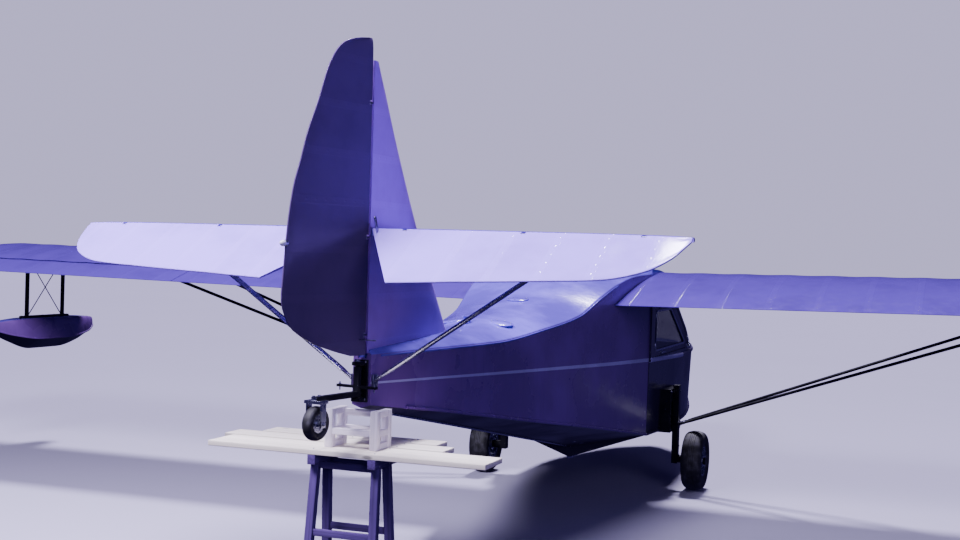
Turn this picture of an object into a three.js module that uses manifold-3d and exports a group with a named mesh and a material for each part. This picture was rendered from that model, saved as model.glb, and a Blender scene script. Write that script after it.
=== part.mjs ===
// A small two-seat amphibious flying boat, high wing and cruciform tail, parked on its main wheels
// with its tail held level on a wooden trestle. Millimetres, +X to starboard, +Y to the nose, +Z up.
import * as THREE from "three";
import { mergeVertices } from "three/addons/utils/BufferGeometryUtils.js";
import Module from "manifold-3d";

const wasm = await Module();
wasm.setup();

// Driving dimensions. A station is the distance ahead of the rudder hinge line.
const MID_STATION = 3037.5; // station of the origin, half way along the whole object
const GAP = 0.35; // between pieces that touch
const RUN = 8; // radial clearance round the nose of a control surface
const SEAM = 6; // clearance at the ends of a control surface
const WALL = 25; // hull and cabin side

const CHORD = 1524;
const INCIDENCE = THREE.MathUtils.degToRad(3.5);
const DIHEDRAL = THREE.MathUtils.degToRad(0.8);
const WING_ROOT = 575; // distance of the root from the centreline
const HALF_SPAN = 5560;
const TRAILING_STATION = 2835;
const TRAILING_Z = 1405;

const TAILPLANE_Z = 1816;
const TAIL_HALF_SPAN = 1540;
const RUDDER_REST = THREE.MathUtils.degToRad(-10); // trailing edge to port
const ELEVATOR_REST = THREE.MathUtils.degToRad(26.6); // trailing edge down, on its stop

const STEP_STATION = 3600; // planing step, rear wall of the cabin
const BOW_STATION = 6700;
const SILL_Z = 980;
const ROOF_Z = 1460; // underside of the wing centre section
const FLOOR_Z = 440;

const WHEEL = { station: 4120, lateral: 830, radius: 220, width: 150, rim: 112, bore: 17 };
const TAILWHEEL = { radius: 78, width: 50, rim: 42, bore: 6.6, arm: 310, z: 950 };
const KINGPIN_STATION = -50; // behind the rudder hinge line

const colours = {
  hull: 0x33297a,
  cream: 0xd9d2f2,
  fabric: 0xdcd6f0,
  metal: 0xb9bccb,
  steel: 0x3a3a44,
  rubber: 0x17171b,
  glass: 0xa9c4d8,
  leather: 0x4b3a35,
  wood: 0x8c8378,
  plank: 0xdccab0,
  panel: 0x24242a,
};
const finish = (color, roughness, metalness) =>
  new THREE.MeshStandardMaterial({ color, roughness, metalness });
const materials = {
  hull: finish(colours.hull, 0.45, 0),
  cream: finish(colours.cream, 0.5, 0),
  fabric: finish(colours.fabric, 0.65, 0),
  metal: finish(colours.metal, 0.35, 1),
  steel: finish(colours.steel, 0.5, 0.8),
  rubber: finish(colours.rubber, 0.85, 0),
  glass: finish(colours.glass, 0.1, 0),
  leather: finish(colours.leather, 0.7, 0),
  wood: finish(colours.wood, 0.85, 0),
  plank: finish(colours.plank, 0.8, 0),
  panel: finish(colours.panel, 0.6, 0),
};

const point = (lateral, station, z) => new THREE.Vector3(lateral, station - MID_STATION, z);
const part = new THREE.Group();

function piece(parent, name, geometry, material) {
  const mesh = new THREE.Mesh(geometry, material);
  mesh.name = name;
  parent.add(mesh);
  return mesh;
}

// Triangles of a flat ring of points, as indices into the ring.
function capOf(ring) {
  const normal = new THREE.Vector3();
  ring.forEach((p, i) => normal.add(p.clone().cross(ring[(i + 1) % ring.length])));
  const across = new THREE.Vector3(1, 0, 0);
  if (Math.abs(normal.x) > Math.max(Math.abs(normal.y), Math.abs(normal.z))) across.set(0, 1, 0);
  const u = across.cross(normal).normalize();
  const v = normal.clone().normalize().cross(u);
  const flat = ring.map((p) => new THREE.Vector2(p.dot(u), p.dot(v)));
  return THREE.ShapeUtils.triangulateShape(flat, []);
}

// A closed solid through rings of equal point count, closed flat at both ends.
function loft(rings) {
  const count = rings[0].length;
  const index = [];
  for (let r = 0; r < rings.length - 1; r += 1) {
    for (let i = 0; i < count; i += 1) {
      const a = r * count + i;
      const b = r * count + ((i + 1) % count);
      index.push(a, b, b + count, a, b + count, a + count);
    }
  }
  const last = (rings.length - 1) * count;
  capOf(rings[0]).forEach(([a, b, c]) => index.push(c, b, a));
  capOf(rings.at(-1)).forEach(([a, b, c]) => index.push(last + a, last + b, last + c));
  const geometry = new THREE.BufferGeometry().setFromPoints(rings.flat());
  geometry.setIndex(index);
  return geometry;
}

function solid(geometry) {
  const bare = geometry.clone();
  bare.deleteAttribute("normal");
  bare.deleteAttribute("uv");
  const merged = mergeVertices(bare, 1e-3);
  const mesh = new wasm.Mesh({
    numProp: 3,
    vertProperties: merged.attributes.position.array,
    triVerts: new Uint32Array(merged.index.array),
  });
  const made = new wasm.Manifold(mesh);
  if (made.volume() >= 0) return made;
  for (let i = 0; i < mesh.triVerts.length; i += 3) mesh.triVerts.subarray(i, i + 3).reverse();
  return new wasm.Manifold(mesh);
}

function shape(made) {
  const mesh = made.getMesh();
  const geometry = new THREE.BufferGeometry();
  const positions = new Float32Array(mesh.numVert * 3);
  for (let i = 0; i < mesh.numVert; i += 1) {
    positions.set(mesh.vertProperties.subarray(i * mesh.numProp, i * mesh.numProp + 3), i * 3);
  }
  geometry.setAttribute("position", new THREE.BufferAttribute(positions, 3));
  geometry.setIndex(new THREE.BufferAttribute(mesh.triVerts, 1));
  return geometry;
}

const closed = (geometry) => shape(solid(geometry));
const join = (...pieces) => shape(pieces.map(solid).reduce((a, b) => a.add(b)));
const cut = (base, ...tools) => shape(tools.map(solid).reduce((a, b) => a.subtract(b), solid(base)));
const common = (a, b) => shape(solid(a).intersect(solid(b)));
const moved = (geometry, x, y, z) => geometry.clone().translate(x, y, z);
const mirrored = (geometry) => closed(geometry.clone().scale(-1, 1, 1));
const sided = (geometry, side) => (side > 0 ? geometry : mirrored(geometry));

// A box between two corners, both given as lateral, station and height.
function block([x0, s0, z0], [x1, s1, z1]) {
  const box = new THREE.BoxGeometry(Math.abs(x1 - x0), Math.abs(s1 - s0), Math.abs(z1 - z0));
  return box.translate((x0 + x1) / 2, (s0 + s1) / 2 - MID_STATION, (z0 + z1) / 2);
}

// A straight member with an elliptical section, its chord lying as near fore and aft as it can.
function member(from, to, chord, thickness, sides = 12) {
  const along = to.clone().sub(from).normalize();
  const fore = Math.abs(along.y) > 0.9 ? new THREE.Vector3(1, 0, 0) : new THREE.Vector3(0, 1, 0);
  const u = fore.sub(along.clone().multiplyScalar(fore.dot(along))).normalize();
  const v = along.clone().cross(u);
  const ring = (end) =>
    Array.from({ length: sides }, (_, i) => {
      const turn = (2 * Math.PI * i) / sides;
      return end
        .clone()
        .addScaledVector(u, (Math.cos(turn) * chord) / 2)
        .addScaledVector(v, (Math.sin(turn) * thickness) / 2);
    });
  return closed(loft([ring(from), ring(to)]));
}
const rod = (from, to, radius, sides = 10) => member(from, to, 2 * radius, 2 * radius, sides);

// A closed profile of radius and offset turned round the X axis.
function turned(profile, segments) {
  const points = profile.map(([radius, offset]) => new THREE.Vector2(radius, offset));
  points.push(points[0].clone());
  return closed(new THREE.LatheGeometry(points, segments).rotateZ(-Math.PI / 2));
}

// A side view of station and height points, extruded across the hull from one lateral to another.
function sideView(outline, from, to) {
  const ring = (lateral) => outline.map(([station, z]) => point(lateral, station, z));
  return closed(loft([ring(from), ring(to)]));
}

// Hull. A section is keel, chine, deck edge and a crowned deck, the same on both sides.
// Columns: station, keel z, chine half breadth, chine z, deck half breadth, deck z, crown z.
const AFTERBODY = [
  [0, 985, 48, 1002, 46, 1247, 1262],
  [600, 876, 150, 916, 142, 1247, 1280],
  [1200, 767, 256, 824, 246, 1250, 1310],
  [1800, 657, 352, 731, 340, 1298, 1372],
  [2270, 572, 425, 661, 412, 1357, 1432],
  [2630, 506, 477, 605, 466, 1472, 1528],
  [2880, 461, 508, 566, 500, 1542, 1588],
  [3250, 394, 540, 508, 540, 1597, 1628],
  [STEP_STATION, 330, 565, 452, 575, 1612, 1643],
];
const FOREBODY = [
  [STEP_STATION + GAP, 250, 565, 452, 575, SILL_Z, SILL_Z],
  [4400, 250, 580, 430, 590, SILL_Z, SILL_Z],
  [4900, 256, 572, 438, 586, SILL_Z, SILL_Z],
  [5225, 272, 545, 462, 565, SILL_Z, SILL_Z],
  [5700, 335, 440, 535, 472, 972, SILL_Z + 22],
  [6100, 430, 335, 620, 385, 958, SILL_Z + 14],
  [6400, 560, 210, 705, 262, 944, SILL_Z - 8],
  [6600, 705, 95, 795, 142, 930, SILL_Z - 34],
  [BOW_STATION, 850, 20, 870, 42, 918, 926],
];
const CROWN = [0.35, 0.75]; // parts of the deck half breadth that carry a point of the crown

function hullRing([station, keelZ, chine, chineZ, deck, deckZ, crownZ], flat = false) {
  const starboard = [[chine, chineZ], [deck, deckZ]];
  if (!flat) {
    [...CROWN].reverse().forEach((k) => {
      starboard.push([deck * k, deckZ + (crownZ - deckZ) * (1 - k * k)]);
    });
  }
  const port = starboard.map(([x, z]) => [-x, z]).reverse();
  return [[0, keelZ], ...starboard, ...port].map(([x, z]) => point(x, station, z));
}

const RUDDER_NOSE = 13;
const afterbody = cut(
  loft(AFTERBODY.map((row) => hullRing(row))),
  rod(point(0, 0, 1228), point(0, 0, 1300), RUDDER_NOSE + RUN - 1.5, 20), // room for the rudder nose
);
const foreShell = closed(loft(FOREBODY.map((row) => hullRing(row))));

// Cabin space under the sills, and the foot space that runs on under the foredeck.
// Columns: station, half breadth, floor z, top z.
const CABIN_SPACE = [
  [STEP_STATION + 60, 540, FLOOR_Z, 1100],
  [4400, 552, FLOOR_Z, 1100],
  [4900, 546, FLOOR_Z, 1100],
  [5180, 520, 468, 1100],
];
const FOOT_SPACE = [
  [5150, 510, 474, 945],
  [5700, 420, 545, 935],
];
const boxRing = ([station, half, low, high]) =>
  [[half, low], [half, high], [-half, high], [-half, low]].map(([x, z]) => point(x, station, z));
const forebody = cut(
  foreShell,
  closed(loft(CABIN_SPACE.map(boxRing))),
  closed(loft(FOOT_SPACE.map(boxRing))),
);

// Wing centre section: the cabin roof, with the front of the wing's section and a round nose.
const ROOF_PROFILE = [
  [STEP_STATION + GAP, ROOF_Z],
  [4300, ROOF_Z],
  [4345, 1474],
  [4360, 1500],
  [4345, 1528],
  [4280, 1563],
  [4150, 1596],
  [3950, 1625],
  [3780, 1638],
  [STEP_STATION + GAP, 1643],
];
const roof = sideView(ROOF_PROFILE, -WING_ROOT, WING_ROOT);

const pylonBase = cut(
  join(
    block([-190, 3740, ROOF_Z + 100], [190, 4180, 1672]),
    block([-210, 3760, ROOF_Z + 120], [210, 3820, 1672]),
    block([-210, 4100, ROOF_Z + 120], [210, 4160, 1672]),
  ),
  moved(roof, 0, 0, GAP),
);

// Cabin frame: posts, header and sills round the windows, on the open top of the forebody.
const FRAME_HALF = 585;
const FRAME_LOW = SILL_Z + GAP;
const FRAME_TOP = ROOF_Z - GAP;
const SCREEN_FOOT = 5220;
const SCREEN_HEAD = 4330;
const screenSlope = (FRAME_TOP - FRAME_LOW) / (SCREEN_FOOT - SCREEN_HEAD);
const screenZ = (station, inset) => FRAME_TOP - (station - SCREEN_HEAD) * screenSlope - inset;
const screenStation = (z, inset) => SCREEN_HEAD + (FRAME_TOP - inset - z) / screenSlope;
const INSET = 32; // of the cabin inside from the slope of the screen, measured upright

const cabinOutline = (inset, low, high, rear) => [
  [rear, low],
  [screenStation(low, inset), low],
  [screenStation(high, inset), high],
  [rear, high],
];
const planTaper = (side) =>
  closed(
    loft(
      [[4880, 0], [5400, -30]].map(([station, move]) =>
        [[FRAME_HALF + move, 900], [700, 900], [700, 1600], [FRAME_HALF + move, 1600]].map(([x, z]) =>
          point(side * x, station, z),
        ),
      ),
    ),
  );
const HATCH_LOW = 1004;
const HATCH_TOP = 1385;
const HATCH_REAR = 3700;
const HATCH_FRONT = 4860;
const hatchOutline = (gap) => [
  [HATCH_REAR + gap, HATCH_LOW + gap],
  [HATCH_FRONT - gap, HATCH_LOW + gap],
  [HATCH_FRONT - gap, screenZ(HATCH_FRONT, 36 + 1.6 * gap)],
  [screenStation(HATCH_TOP, 36 + 1.6 * gap), HATCH_TOP - gap],
  [HATCH_REAR + gap, HATCH_TOP - gap],
];
const QUARTER_REAR = 4935;
const quarterOutline = (gap) => [
  [QUARTER_REAR + gap, HATCH_LOW + gap],
  [screenStation(HATCH_LOW, 40 + 2.4 * gap), HATCH_LOW + gap],
  [QUARTER_REAR + gap, screenZ(QUARTER_REAR, 40 + 1.6 * gap)],
];
const SCREEN_HALF = 515;
const SCREEN = { low: 1030, high: 1425 };
// A band along the screen from a depth under its slope to another, with its ends drawn in by a gap.
const screenBand = (under, over, gap) => [
  [screenStation(SCREEN.low + gap, under), SCREEN.low + gap],
  [screenStation(SCREEN.low + gap, over), SCREEN.low + gap],
  [screenStation(SCREEN.high - gap, over), SCREEN.high - gap],
  [screenStation(SCREEN.high - gap, under), SCREEN.high - gap],
];

const HATCH_AXIS = { x: 595, z: 1390 };
const KNUCKLE = { radius: 7, fixed: 22, moving: 15 };
const HATCH_HINGES = [3860, 4260];

// A hinge knuckle on the hatch axis with its leaf, upwards on the frame or downwards on the hatch.
function knuckle(station, length, up) {
  const rear = station - length / 2;
  const front = station + length / 2;
  const way = up ? 1 : -1;
  const leafZ = HATCH_AXIS.z + way * 34;
  const skin = FRAME_HALF + 1;
  return join(
    rod(
      point(HATCH_AXIS.x, rear, HATCH_AXIS.z),
      point(HATCH_AXIS.x, front, HATCH_AXIS.z),
      KNUCKLE.radius,
    ),
    block([skin, rear, leafZ], [skin + 4, front, HATCH_AXIS.z]),
    block([FRAME_HALF - 8, rear, leafZ], [skin + 4, front, leafZ - way * 18]),
  );
}

const frameKnuckles = HATCH_HINGES.map((station) => knuckle(station, KNUCKLE.fixed, true));
const cabinFrame = join(
  cut(
    sideView(cabinOutline(0, FRAME_LOW, FRAME_TOP, STEP_STATION + GAP), -FRAME_HALF, FRAME_HALF),
    planTaper(1),
    planTaper(-1),
    sideView(
      cabinOutline(INSET, FRAME_LOW - 20, FRAME_TOP - WALL, STEP_STATION - 40),
      WALL + 5 - FRAME_HALF,
      FRAME_HALF - WALL - 5,
    ),
    sideView(hatchOutline(0), -700, 700),
    sideView(quarterOutline(0), -700, 700),
    sideView(screenBand(80, -60, 0), -SCREEN_HALF, SCREEN_HALF),
  ),
  ...frameKnuckles,
  ...frameKnuckles.map(mirrored),
);
const screenPane = sideView(screenBand(20, 8, GAP), GAP - SCREEN_HALF, SCREEN_HALF - GAP);

const HATCH_SKIN = { inner: 561, outer: 584 };
const HATCH_BORDER = 46;
const hatch = join(
  cut(
    sideView(hatchOutline(5), HATCH_SKIN.inner, HATCH_SKIN.outer),
    sideView(hatchOutline(HATCH_BORDER), 500, 700),
  ),
  ...HATCH_HINGES.flatMap((station) =>
    [-1, 1].map((way) => {
      const offset = way * ((KNUCKLE.fixed + KNUCKLE.moving) / 2 + 0.6);
      return knuckle(station + offset, KNUCKLE.moving, false);
    }),
  ),
);
const hatchPane = sideView(hatchOutline(HATCH_BORDER + GAP), 570, 576);

// Wing section: 4 percent camber at 40 percent of the chord, 12 percent thick.
const CAMBER = { height: 0.04, at: 0.4 };
const THICKNESS = 0.12;
const SECTION_STEPS = 10;
function sectionPoint(x, upper) {
  const { height, at } = CAMBER;
  const line = x < at ? (height / at ** 2) * (2 * at * x - x * x)
    : (height / (1 - at) ** 2) * (1 - 2 * at + 2 * at * x - x * x);
  const half = 5 * THICKNESS
    * (0.2969 * Math.sqrt(x) - 0.126 * x - 0.3516 * x ** 2 + 0.2843 * x ** 3 - 0.1015 * x ** 4);
  return line + (upper ? half : -half);
}
const fractions = Array.from({ length: SECTION_STEPS + 1 }, (_, i) =>
  (1 - Math.cos((Math.PI * i) / SECTION_STEPS)) / 2,
);

// A wing ring at a distance from the root, its chord cut back by a nose inset and a tail inset.
function wingRing([outboard, noseInset, tailInset]) {
  const chord = CHORD - noseInset - tailInset;
  const tail = tailInset * Math.cos(INCIDENCE);
  const tailZ = tailInset * Math.sin(INCIDENCE);
  const place = (x, upper) => {
    const along = (1 - x) * chord;
    const rise = sectionPoint(x, upper) * chord;
    return point(
      outboard,
      TRAILING_STATION + tail + along * Math.cos(INCIDENCE) - rise * Math.sin(INCIDENCE),
      tailZ + along * Math.sin(INCIDENCE) + rise * Math.cos(INCIDENCE),
    );
  };
  const upper = [...fractions].reverse().map((x) => place(x, true));
  const lower = fractions.slice(1).map((x) => place(x, false));
  return [...upper, ...lower];
}
// Columns: distance from the root, nose inset, tail inset.
const WING_ROWS = [
  [-110, 0, 0],
  [4500, 0, 0],
  [4720, 18, 45],
  [4860, 75, 160],
  [4945, 190, 350],
  [HALF_SPAN - WING_ROOT, 420, 700],
];
const wingBlank = closed(loft(WING_ROWS.map(wingRing)));
const midLine = (x) => ((sectionPoint(x, true) + sectionPoint(x, false)) / 2) * CHORD;

// Height half way through the wing at a lateral and a station.
function wingMidZ(lateral, station) {
  const ahead = (station - TRAILING_STATION) / Math.cos(INCIDENCE);
  const rise = (lateral - WING_ROOT) * Math.tan(DIHEDRAL) + ahead * Math.sin(INCIDENCE);
  return TRAILING_Z + rise + midLine(1 - ahead / CHORD);
}

const AILERON = { from: 2350, to: 4500, chord: 305, hinges: [2560, 3425, 4290] };
const AILERON_NOSE = 38;
const aileronY = TRAILING_STATION + AILERON.chord - MID_STATION;
const aileronZ = AILERON.chord * Math.sin(INCIDENCE) + midLine(1 - AILERON.chord / CHORD);

// Hinge parts on a line along X through y and z: a lug with its pin, and the slot it turns in.
const LUG = { half: 5, depth: 10, behind: 10, pin: 5, pinHalf: 28 };
function along(x0, x1, y, z, radius, sides = 10) {
  const from = new THREE.Vector3(x0, y, z);
  return rod(from, new THREE.Vector3(x1, y, z), radius, sides);
}
function slab(x0, x1, y0, y1, z0, z1) {
  const box = new THREE.BoxGeometry(x1 - x0, y1 - y0, z1 - z0);
  return box.translate((x0 + x1) / 2, (y0 + y1) / 2, (z0 + z1) / 2);
}
function hingeLug(x, y, z, reach) {
  return join(
    slab(x - LUG.half, x + LUG.half, y - LUG.behind, y + reach, z - LUG.depth, z + LUG.depth),
    along(x - LUG.pinHalf, x + LUG.pinHalf, y, z, LUG.pin),
  );
}
function hingeSlot(x, y, z) {
  const half = LUG.half + SEAM;
  return join(
    slab(x - half, x + half, y - LUG.behind - SEAM, y + 80, z - 90, z + 90),
    along(x - LUG.pinHalf - SEAM, x + LUG.pinHalf + SEAM, y, z, LUG.pin + 0.5),
  );
}

function behindHinge(from, to) {
  return slab(from, to, aileronY - 500, aileronY, aileronZ - 200, aileronZ + 200);
}
const aileron = cut(
  common(
    wingBlank,
    join(
      behindHinge(AILERON.from + SEAM, AILERON.to - SEAM),
      along(AILERON.from + SEAM, AILERON.to - SEAM, aileronY, aileronZ, AILERON_NOSE, 20),
    ),
  ),
  ...AILERON.hinges.map((x) => hingeSlot(x, aileronY, aileronZ)),
);
const wingPanel = join(
  cut(
    wingBlank,
    behindHinge(AILERON.from, AILERON.to),
    along(AILERON.from, AILERON.to, aileronY, aileronZ, AILERON_NOSE + RUN, 20),
  ),
  ...AILERON.hinges.map((x) => hingeLug(x, aileronY, aileronZ, AILERON_NOSE + RUN + 30)),
);

// Control surface behind its hinge line, in its own frame: X along the hinge, Y forward.
// Columns: distance along, chord behind the hinge, nose radius, slope of the end towards the tip.
const NOSE_STEPS = 6;
const TAIL_EDGE = 2.5; // half thickness of a trailing edge
function movingRing([distance, chord, nose, slope = 0]) {
  const arc = Array.from({ length: NOSE_STEPS + 1 }, (_, i) => {
    const turn = Math.PI / 2 - (Math.PI * i) / NOSE_STEPS;
    return [nose * Math.cos(turn), nose * Math.sin(turn)];
  });
  const edge = Math.min(TAIL_EDGE, nose);
  return [...arc, [-chord, -edge], [-chord, edge]].map(([y, z]) =>
    new THREE.Vector3(distance - slope * Math.min(y, 0), y, z),
  );
}
// Fixed surface ahead of a hinge line. Columns: distance along, chord ahead, half thickness.
function fixedRing([distance, chord, half]) {
  const upper = [[0, 1], [0.45, 1], [0.8, 0.66], [0.95, 0.3], [1, 0]];
  const lower = upper.slice(0, -1).reverse().map(([y, z]) => [y, -z]);
  return [...upper, ...lower].map(([y, z]) => new THREE.Vector3(distance, y * chord, z * half));
}

// Rudder, distances are heights. The lower edge curves up into the trailing edge.
const RUDDER_ROWS = [
  [1236, 100, RUDDER_NOSE],
  [1264, 230, RUDDER_NOSE],
  [1330, 450, RUDDER_NOSE],
  [1400, 565, RUDDER_NOSE],
  [1515, 618, RUDDER_NOSE],
  [1640, 608, RUDDER_NOSE],
  [1830, 588, RUDDER_NOSE],
  [2000, 555, RUDDER_NOSE],
  [2120, 510, RUDDER_NOSE],
  [2230, 472, RUDDER_NOSE],
  [2380, 400, RUDDER_NOSE],
  [2570, 315, 12],
  [2670, 220, 11],
  [2708, 110, 8],
  [2722, 20, 4],
];
const RUDDER_HINGES = [1330, 1790, 2420];
const FIN_ROWS = [
  [1240, 1120, 19],
  [1300, 1060, 19],
  [1350, 1020, 19],
  [1820, 630, 18],
  [2260, 315, 17],
  [2500, 160, 16],
  [2620, 76, 15],
];
const FIN_TURN = new THREE.Matrix4().makeRotationY(-Math.PI / 2);
const HINGE_Y = -MID_STATION; // the rudder and elevator hinge lines, station 0
const REACH = 60; // of a tail hinge lug into its fixed surface

const rudder = cut(
  closed(loft(RUDDER_ROWS.map(movingRing))),
  ...RUDDER_HINGES.map((height) => hingeSlot(height, 0, 0)),
);
const finUpright = join(
  cut(closed(loft(FIN_ROWS.map(fixedRing))), along(1100, 2800, 0, 0, RUDDER_NOSE + RUN, 20)),
  ...RUDDER_HINGES.map((height) => hingeLug(height, 0, 0, REACH)),
).applyMatrix4(FIN_TURN).translate(0, HINGE_Y, 0);
const fin = cut(finUpright, moved(afterbody, 0, 0, GAP));

// Tailplane, distances are laterals.
const ELEVATOR_ROWS = [
  [36, 500, 16, 0.54],
  [600, 468, 16],
  [1000, 430, 16],
  [1240, 400, 15],
  [1400, 315, 13],
  [1490, 185, 11],
  [TAIL_HALF_SPAN, 30, 9],
];
const STABILIZER_ROWS = [
  [0, 560, 19],
  [600, 510, 19],
  [1150, 430, 18],
  [1400, 320, 16],
  [1500, 190, 13],
  [TAIL_HALF_SPAN, 60, 11],
];
const ELEVATOR_HINGES = [200, 780, 1330];
const ELEVATOR_NOSE = 16;
const elevator = cut(
  closed(loft(ELEVATOR_ROWS.map(movingRing))),
  ...ELEVATOR_HINGES.map((lateral) => hingeSlot(lateral, 0, 0)),
);
const stabilizerBlank = join(
  cut(
    closed(loft(STABILIZER_ROWS.map(fixedRing))),
    along(-50, 1700, 0, 0, ELEVATOR_NOSE + RUN, 20),
    slab(-50, 34, -50, 34, -50, 50), // room for the rudder post
  ),
  ...ELEVATOR_HINGES.map((lateral) => hingeLug(lateral, 0, 0, REACH)),
).translate(0, HINGE_Y, TAILPLANE_Z);

// Each runs from inside the stern to the underside of the tailplane.
const TAIL_STRUT = {
  foot: point(20, 24, 1094),
  head: point(1060, 62, TAILPLANE_Z - 8),
  chord: 40,
  thickness: 18,
};
const tailStrutBlank = member(
  TAIL_STRUT.foot,
  TAIL_STRUT.head,
  TAIL_STRUT.chord,
  TAIL_STRUT.thickness,
);

// Main gear: a frame on the hull side, an upright leg and the axle.
const GEAR = { rear: 3980, front: 4340, low: 430, high: 750, inner: 560, outer: 660, bar: 40 };
const LEG = { thick: 40, half: 32, below: 30, above: 25 };
const AXLE = { radius: 16, collar: 30, nut: 28, nutLength: 14.5 };
const HUB_HALF = 62;
const gearBar = (rear, front, low, high) =>
  block([GEAR.inner, rear, low], [GEAR.outer, front, high]);
const onAxle = (from, to, radius, sides) =>
  rod(
    point(from, WHEEL.station, WHEEL.radius),
    point(to, WHEEL.station, WHEEL.radius),
    radius,
    sides,
  );
const legX = GEAR.outer + LEG.thick / 2;
const axleEnd = WHEEL.lateral + HUB_HALF + 16;
const gearBlank = join(
  gearBar(GEAR.rear, GEAR.rear + GEAR.bar, GEAR.low, GEAR.high),
  gearBar(GEAR.front - GEAR.bar, GEAR.front, GEAR.low, GEAR.high),
  gearBar(GEAR.rear, GEAR.front, GEAR.low, GEAR.low + GEAR.bar),
  gearBar(GEAR.rear, GEAR.front, GEAR.high - GEAR.bar, GEAR.high),
  block(
    [GEAR.outer - 5, WHEEL.station - LEG.half, WHEEL.radius - LEG.below],
    [GEAR.outer + LEG.thick, WHEEL.station + LEG.half, GEAR.high + LEG.above],
  ),
  onAxle(legX, axleEnd, AXLE.radius, 16),
  onAxle(axleEnd - AXLE.nutLength, axleEnd, AXLE.nut, 6),
  onAxle(legX, WHEEL.lateral - HUB_HALF - 1, AXLE.collar, 16),
);
const gearLeg = cut(gearBlank, moved(foreShell, GAP, 0, 0));

const wheelHub = turned(
  [
    [WHEEL.bore, -HUB_HALF], [42, -HUB_HALF], [48, -22], [96, -22], [99, -HUB_HALF],
    [WHEEL.rim - GAP, -HUB_HALF], [WHEEL.rim - GAP, HUB_HALF],
    [99, HUB_HALF], [96, 22], [48, 22], [42, HUB_HALF], [WHEEL.bore, HUB_HALF],
  ],
  28,
);
const tyreSection = (rim, radius, width) => {
  const half = width / 2;
  const depth = radius - rim;
  const side = [[0, 0.78], [0.3, 0.98], [0.65, 1], [0.9, 0.72], [1, 0.24]];
  const right = side.map(([out, across]) => [rim + out * depth, across * half]);
  const left = [...right].reverse().map(([out, across]) => [out, -across]);
  return [...right, ...left];
};
const tyre = turned(tyreSection(WHEEL.rim, WHEEL.radius, WHEEL.width), 28);

// Lift struts, a V from the gear frame to the two spars.
const STRUT = { chord: 56, thickness: 26, head: 3500, footX: 610, footZ: 445 };
// Columns: name, foot station, head station.
const LIFT_STRUTS = [
  ["front", 4272, 3950],
  ["rear", 4196, 3340],
];

// Tip floats. Columns: station, half breadth, keel z, chine z, top z.
const FLOAT_LATERAL = 4700;
const FLOAT_ROWS = [
  [2950, 18, 968, 985, 1022],
  [3150, 82, 880, 930, 1050],
  [3450, 128, 800, 890, 1060],
  [3800, 130, 798, 888, 1060],
  [4080, 100, 850, 918, 1054],
  [4220, 55, 925, 962, 1040],
  [4270, 12, 985, 995, 1018],
];
function floatRing([station, half, keelZ, chineZ, topZ]) {
  const shoulderZ = chineZ + 0.75 * (topZ - chineZ);
  const starboard = [[half, chineZ], [half * 0.94, shoulderZ], [half * 0.55, topZ]];
  const port = starboard.map(([x, z]) => [-x, z]).reverse();
  return [[0, keelZ], ...starboard, ...port].map(([x, z]) => point(FLOAT_LATERAL + x, station, z));
}
const tipFloat = closed(loft(FLOAT_ROWS.map(floatRing)));
const FLOAT_STRUTS = [3400, 3860];
const FLOAT_STRUT = { chord: 50, thickness: 24 };
const SHOE = { half: 30, beyond: 60, low: 1040, high: 1078 };
const floatStrutBlank = join(
  block(
    [FLOAT_LATERAL - SHOE.half, FLOAT_STRUTS[0] - SHOE.beyond, SHOE.low],
    [FLOAT_LATERAL + SHOE.half, FLOAT_STRUTS[1] + SHOE.beyond, SHOE.high],
  ),
  ...FLOAT_STRUTS.map((station) =>
    member(
      point(FLOAT_LATERAL, station, (SHOE.low + SHOE.high) / 2),
      point(FLOAT_LATERAL, station, wingMidZ(FLOAT_LATERAL, station)),
      FLOAT_STRUT.chord,
      FLOAT_STRUT.thickness,
    ),
  ),
);

// Tail bracket with its kingpin, and the wheel fork that swings on it.
const BRACKET = { half: 34, thick: 12, low: 1015, high: 1215 };
const EYE = { half: 22, beyond: 18, thick: 18, low: 1022, high: 1190 };
const KINGPIN = 9;
const bracketEye = (z) =>
  block([-EYE.half, KINGPIN_STATION - EYE.beyond, z], [EYE.half, -4, z + EYE.thick]);
const tailBracket = join(
  block([-BRACKET.half, -BRACKET.thick, BRACKET.low], [BRACKET.half, -GAP, BRACKET.high]),
  bracketEye(EYE.low),
  bracketEye(EYE.high),
  rod(
    point(0, KINGPIN_STATION, EYE.low),
    point(0, KINGPIN_STATION, EYE.high + EYE.thick),
    KINGPIN,
    16,
  ),
);
// Fork in its own frame: the kingpin on Z at the origin, the wheel behind on -Y.
const FORK = { low: 1046, high: 1184, sleeve: 19, bore: KINGPIN + 0.6, leg: 36, plate: 8 };
const FORK_ARM = { half: 14, thick: 26, above: 4 };
const TILLER = { half: 110, thick: 12, z: 1085 }; // cross arm for the steering cables
const CROWN_HALF = 32;
const BLADE_HALF = 18;
const CROWN_THICK = 14;
const upright = (radius, z0, z1, sides = 16) =>
  rod(new THREE.Vector3(0, 0, z0), new THREE.Vector3(0, 0, z1), radius, sides);
const crownZ = TAILWHEEL.z + TAILWHEEL.radius + 12;
const wheelY = -TAILWHEEL.arm;
const outerLeg = FORK.leg + FORK.plate;
const blade = (x0, x1) =>
  slab(
    x0,
    x1,
    wheelY - BLADE_HALF,
    wheelY + BLADE_HALF,
    TAILWHEEL.z - BLADE_HALF,
    crownZ + CROWN_THICK,
  );
const forkArm = slab(
  -FORK_ARM.half,
  FORK_ARM.half,
  wheelY - 20,
  0,
  crownZ + FORK_ARM.above,
  crownZ + FORK_ARM.above + FORK_ARM.thick,
);
const tiller = slab(
  -TILLER.half,
  TILLER.half,
  -TILLER.thick,
  TILLER.thick,
  TILLER.z,
  TILLER.z + TILLER.thick,
);
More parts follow.
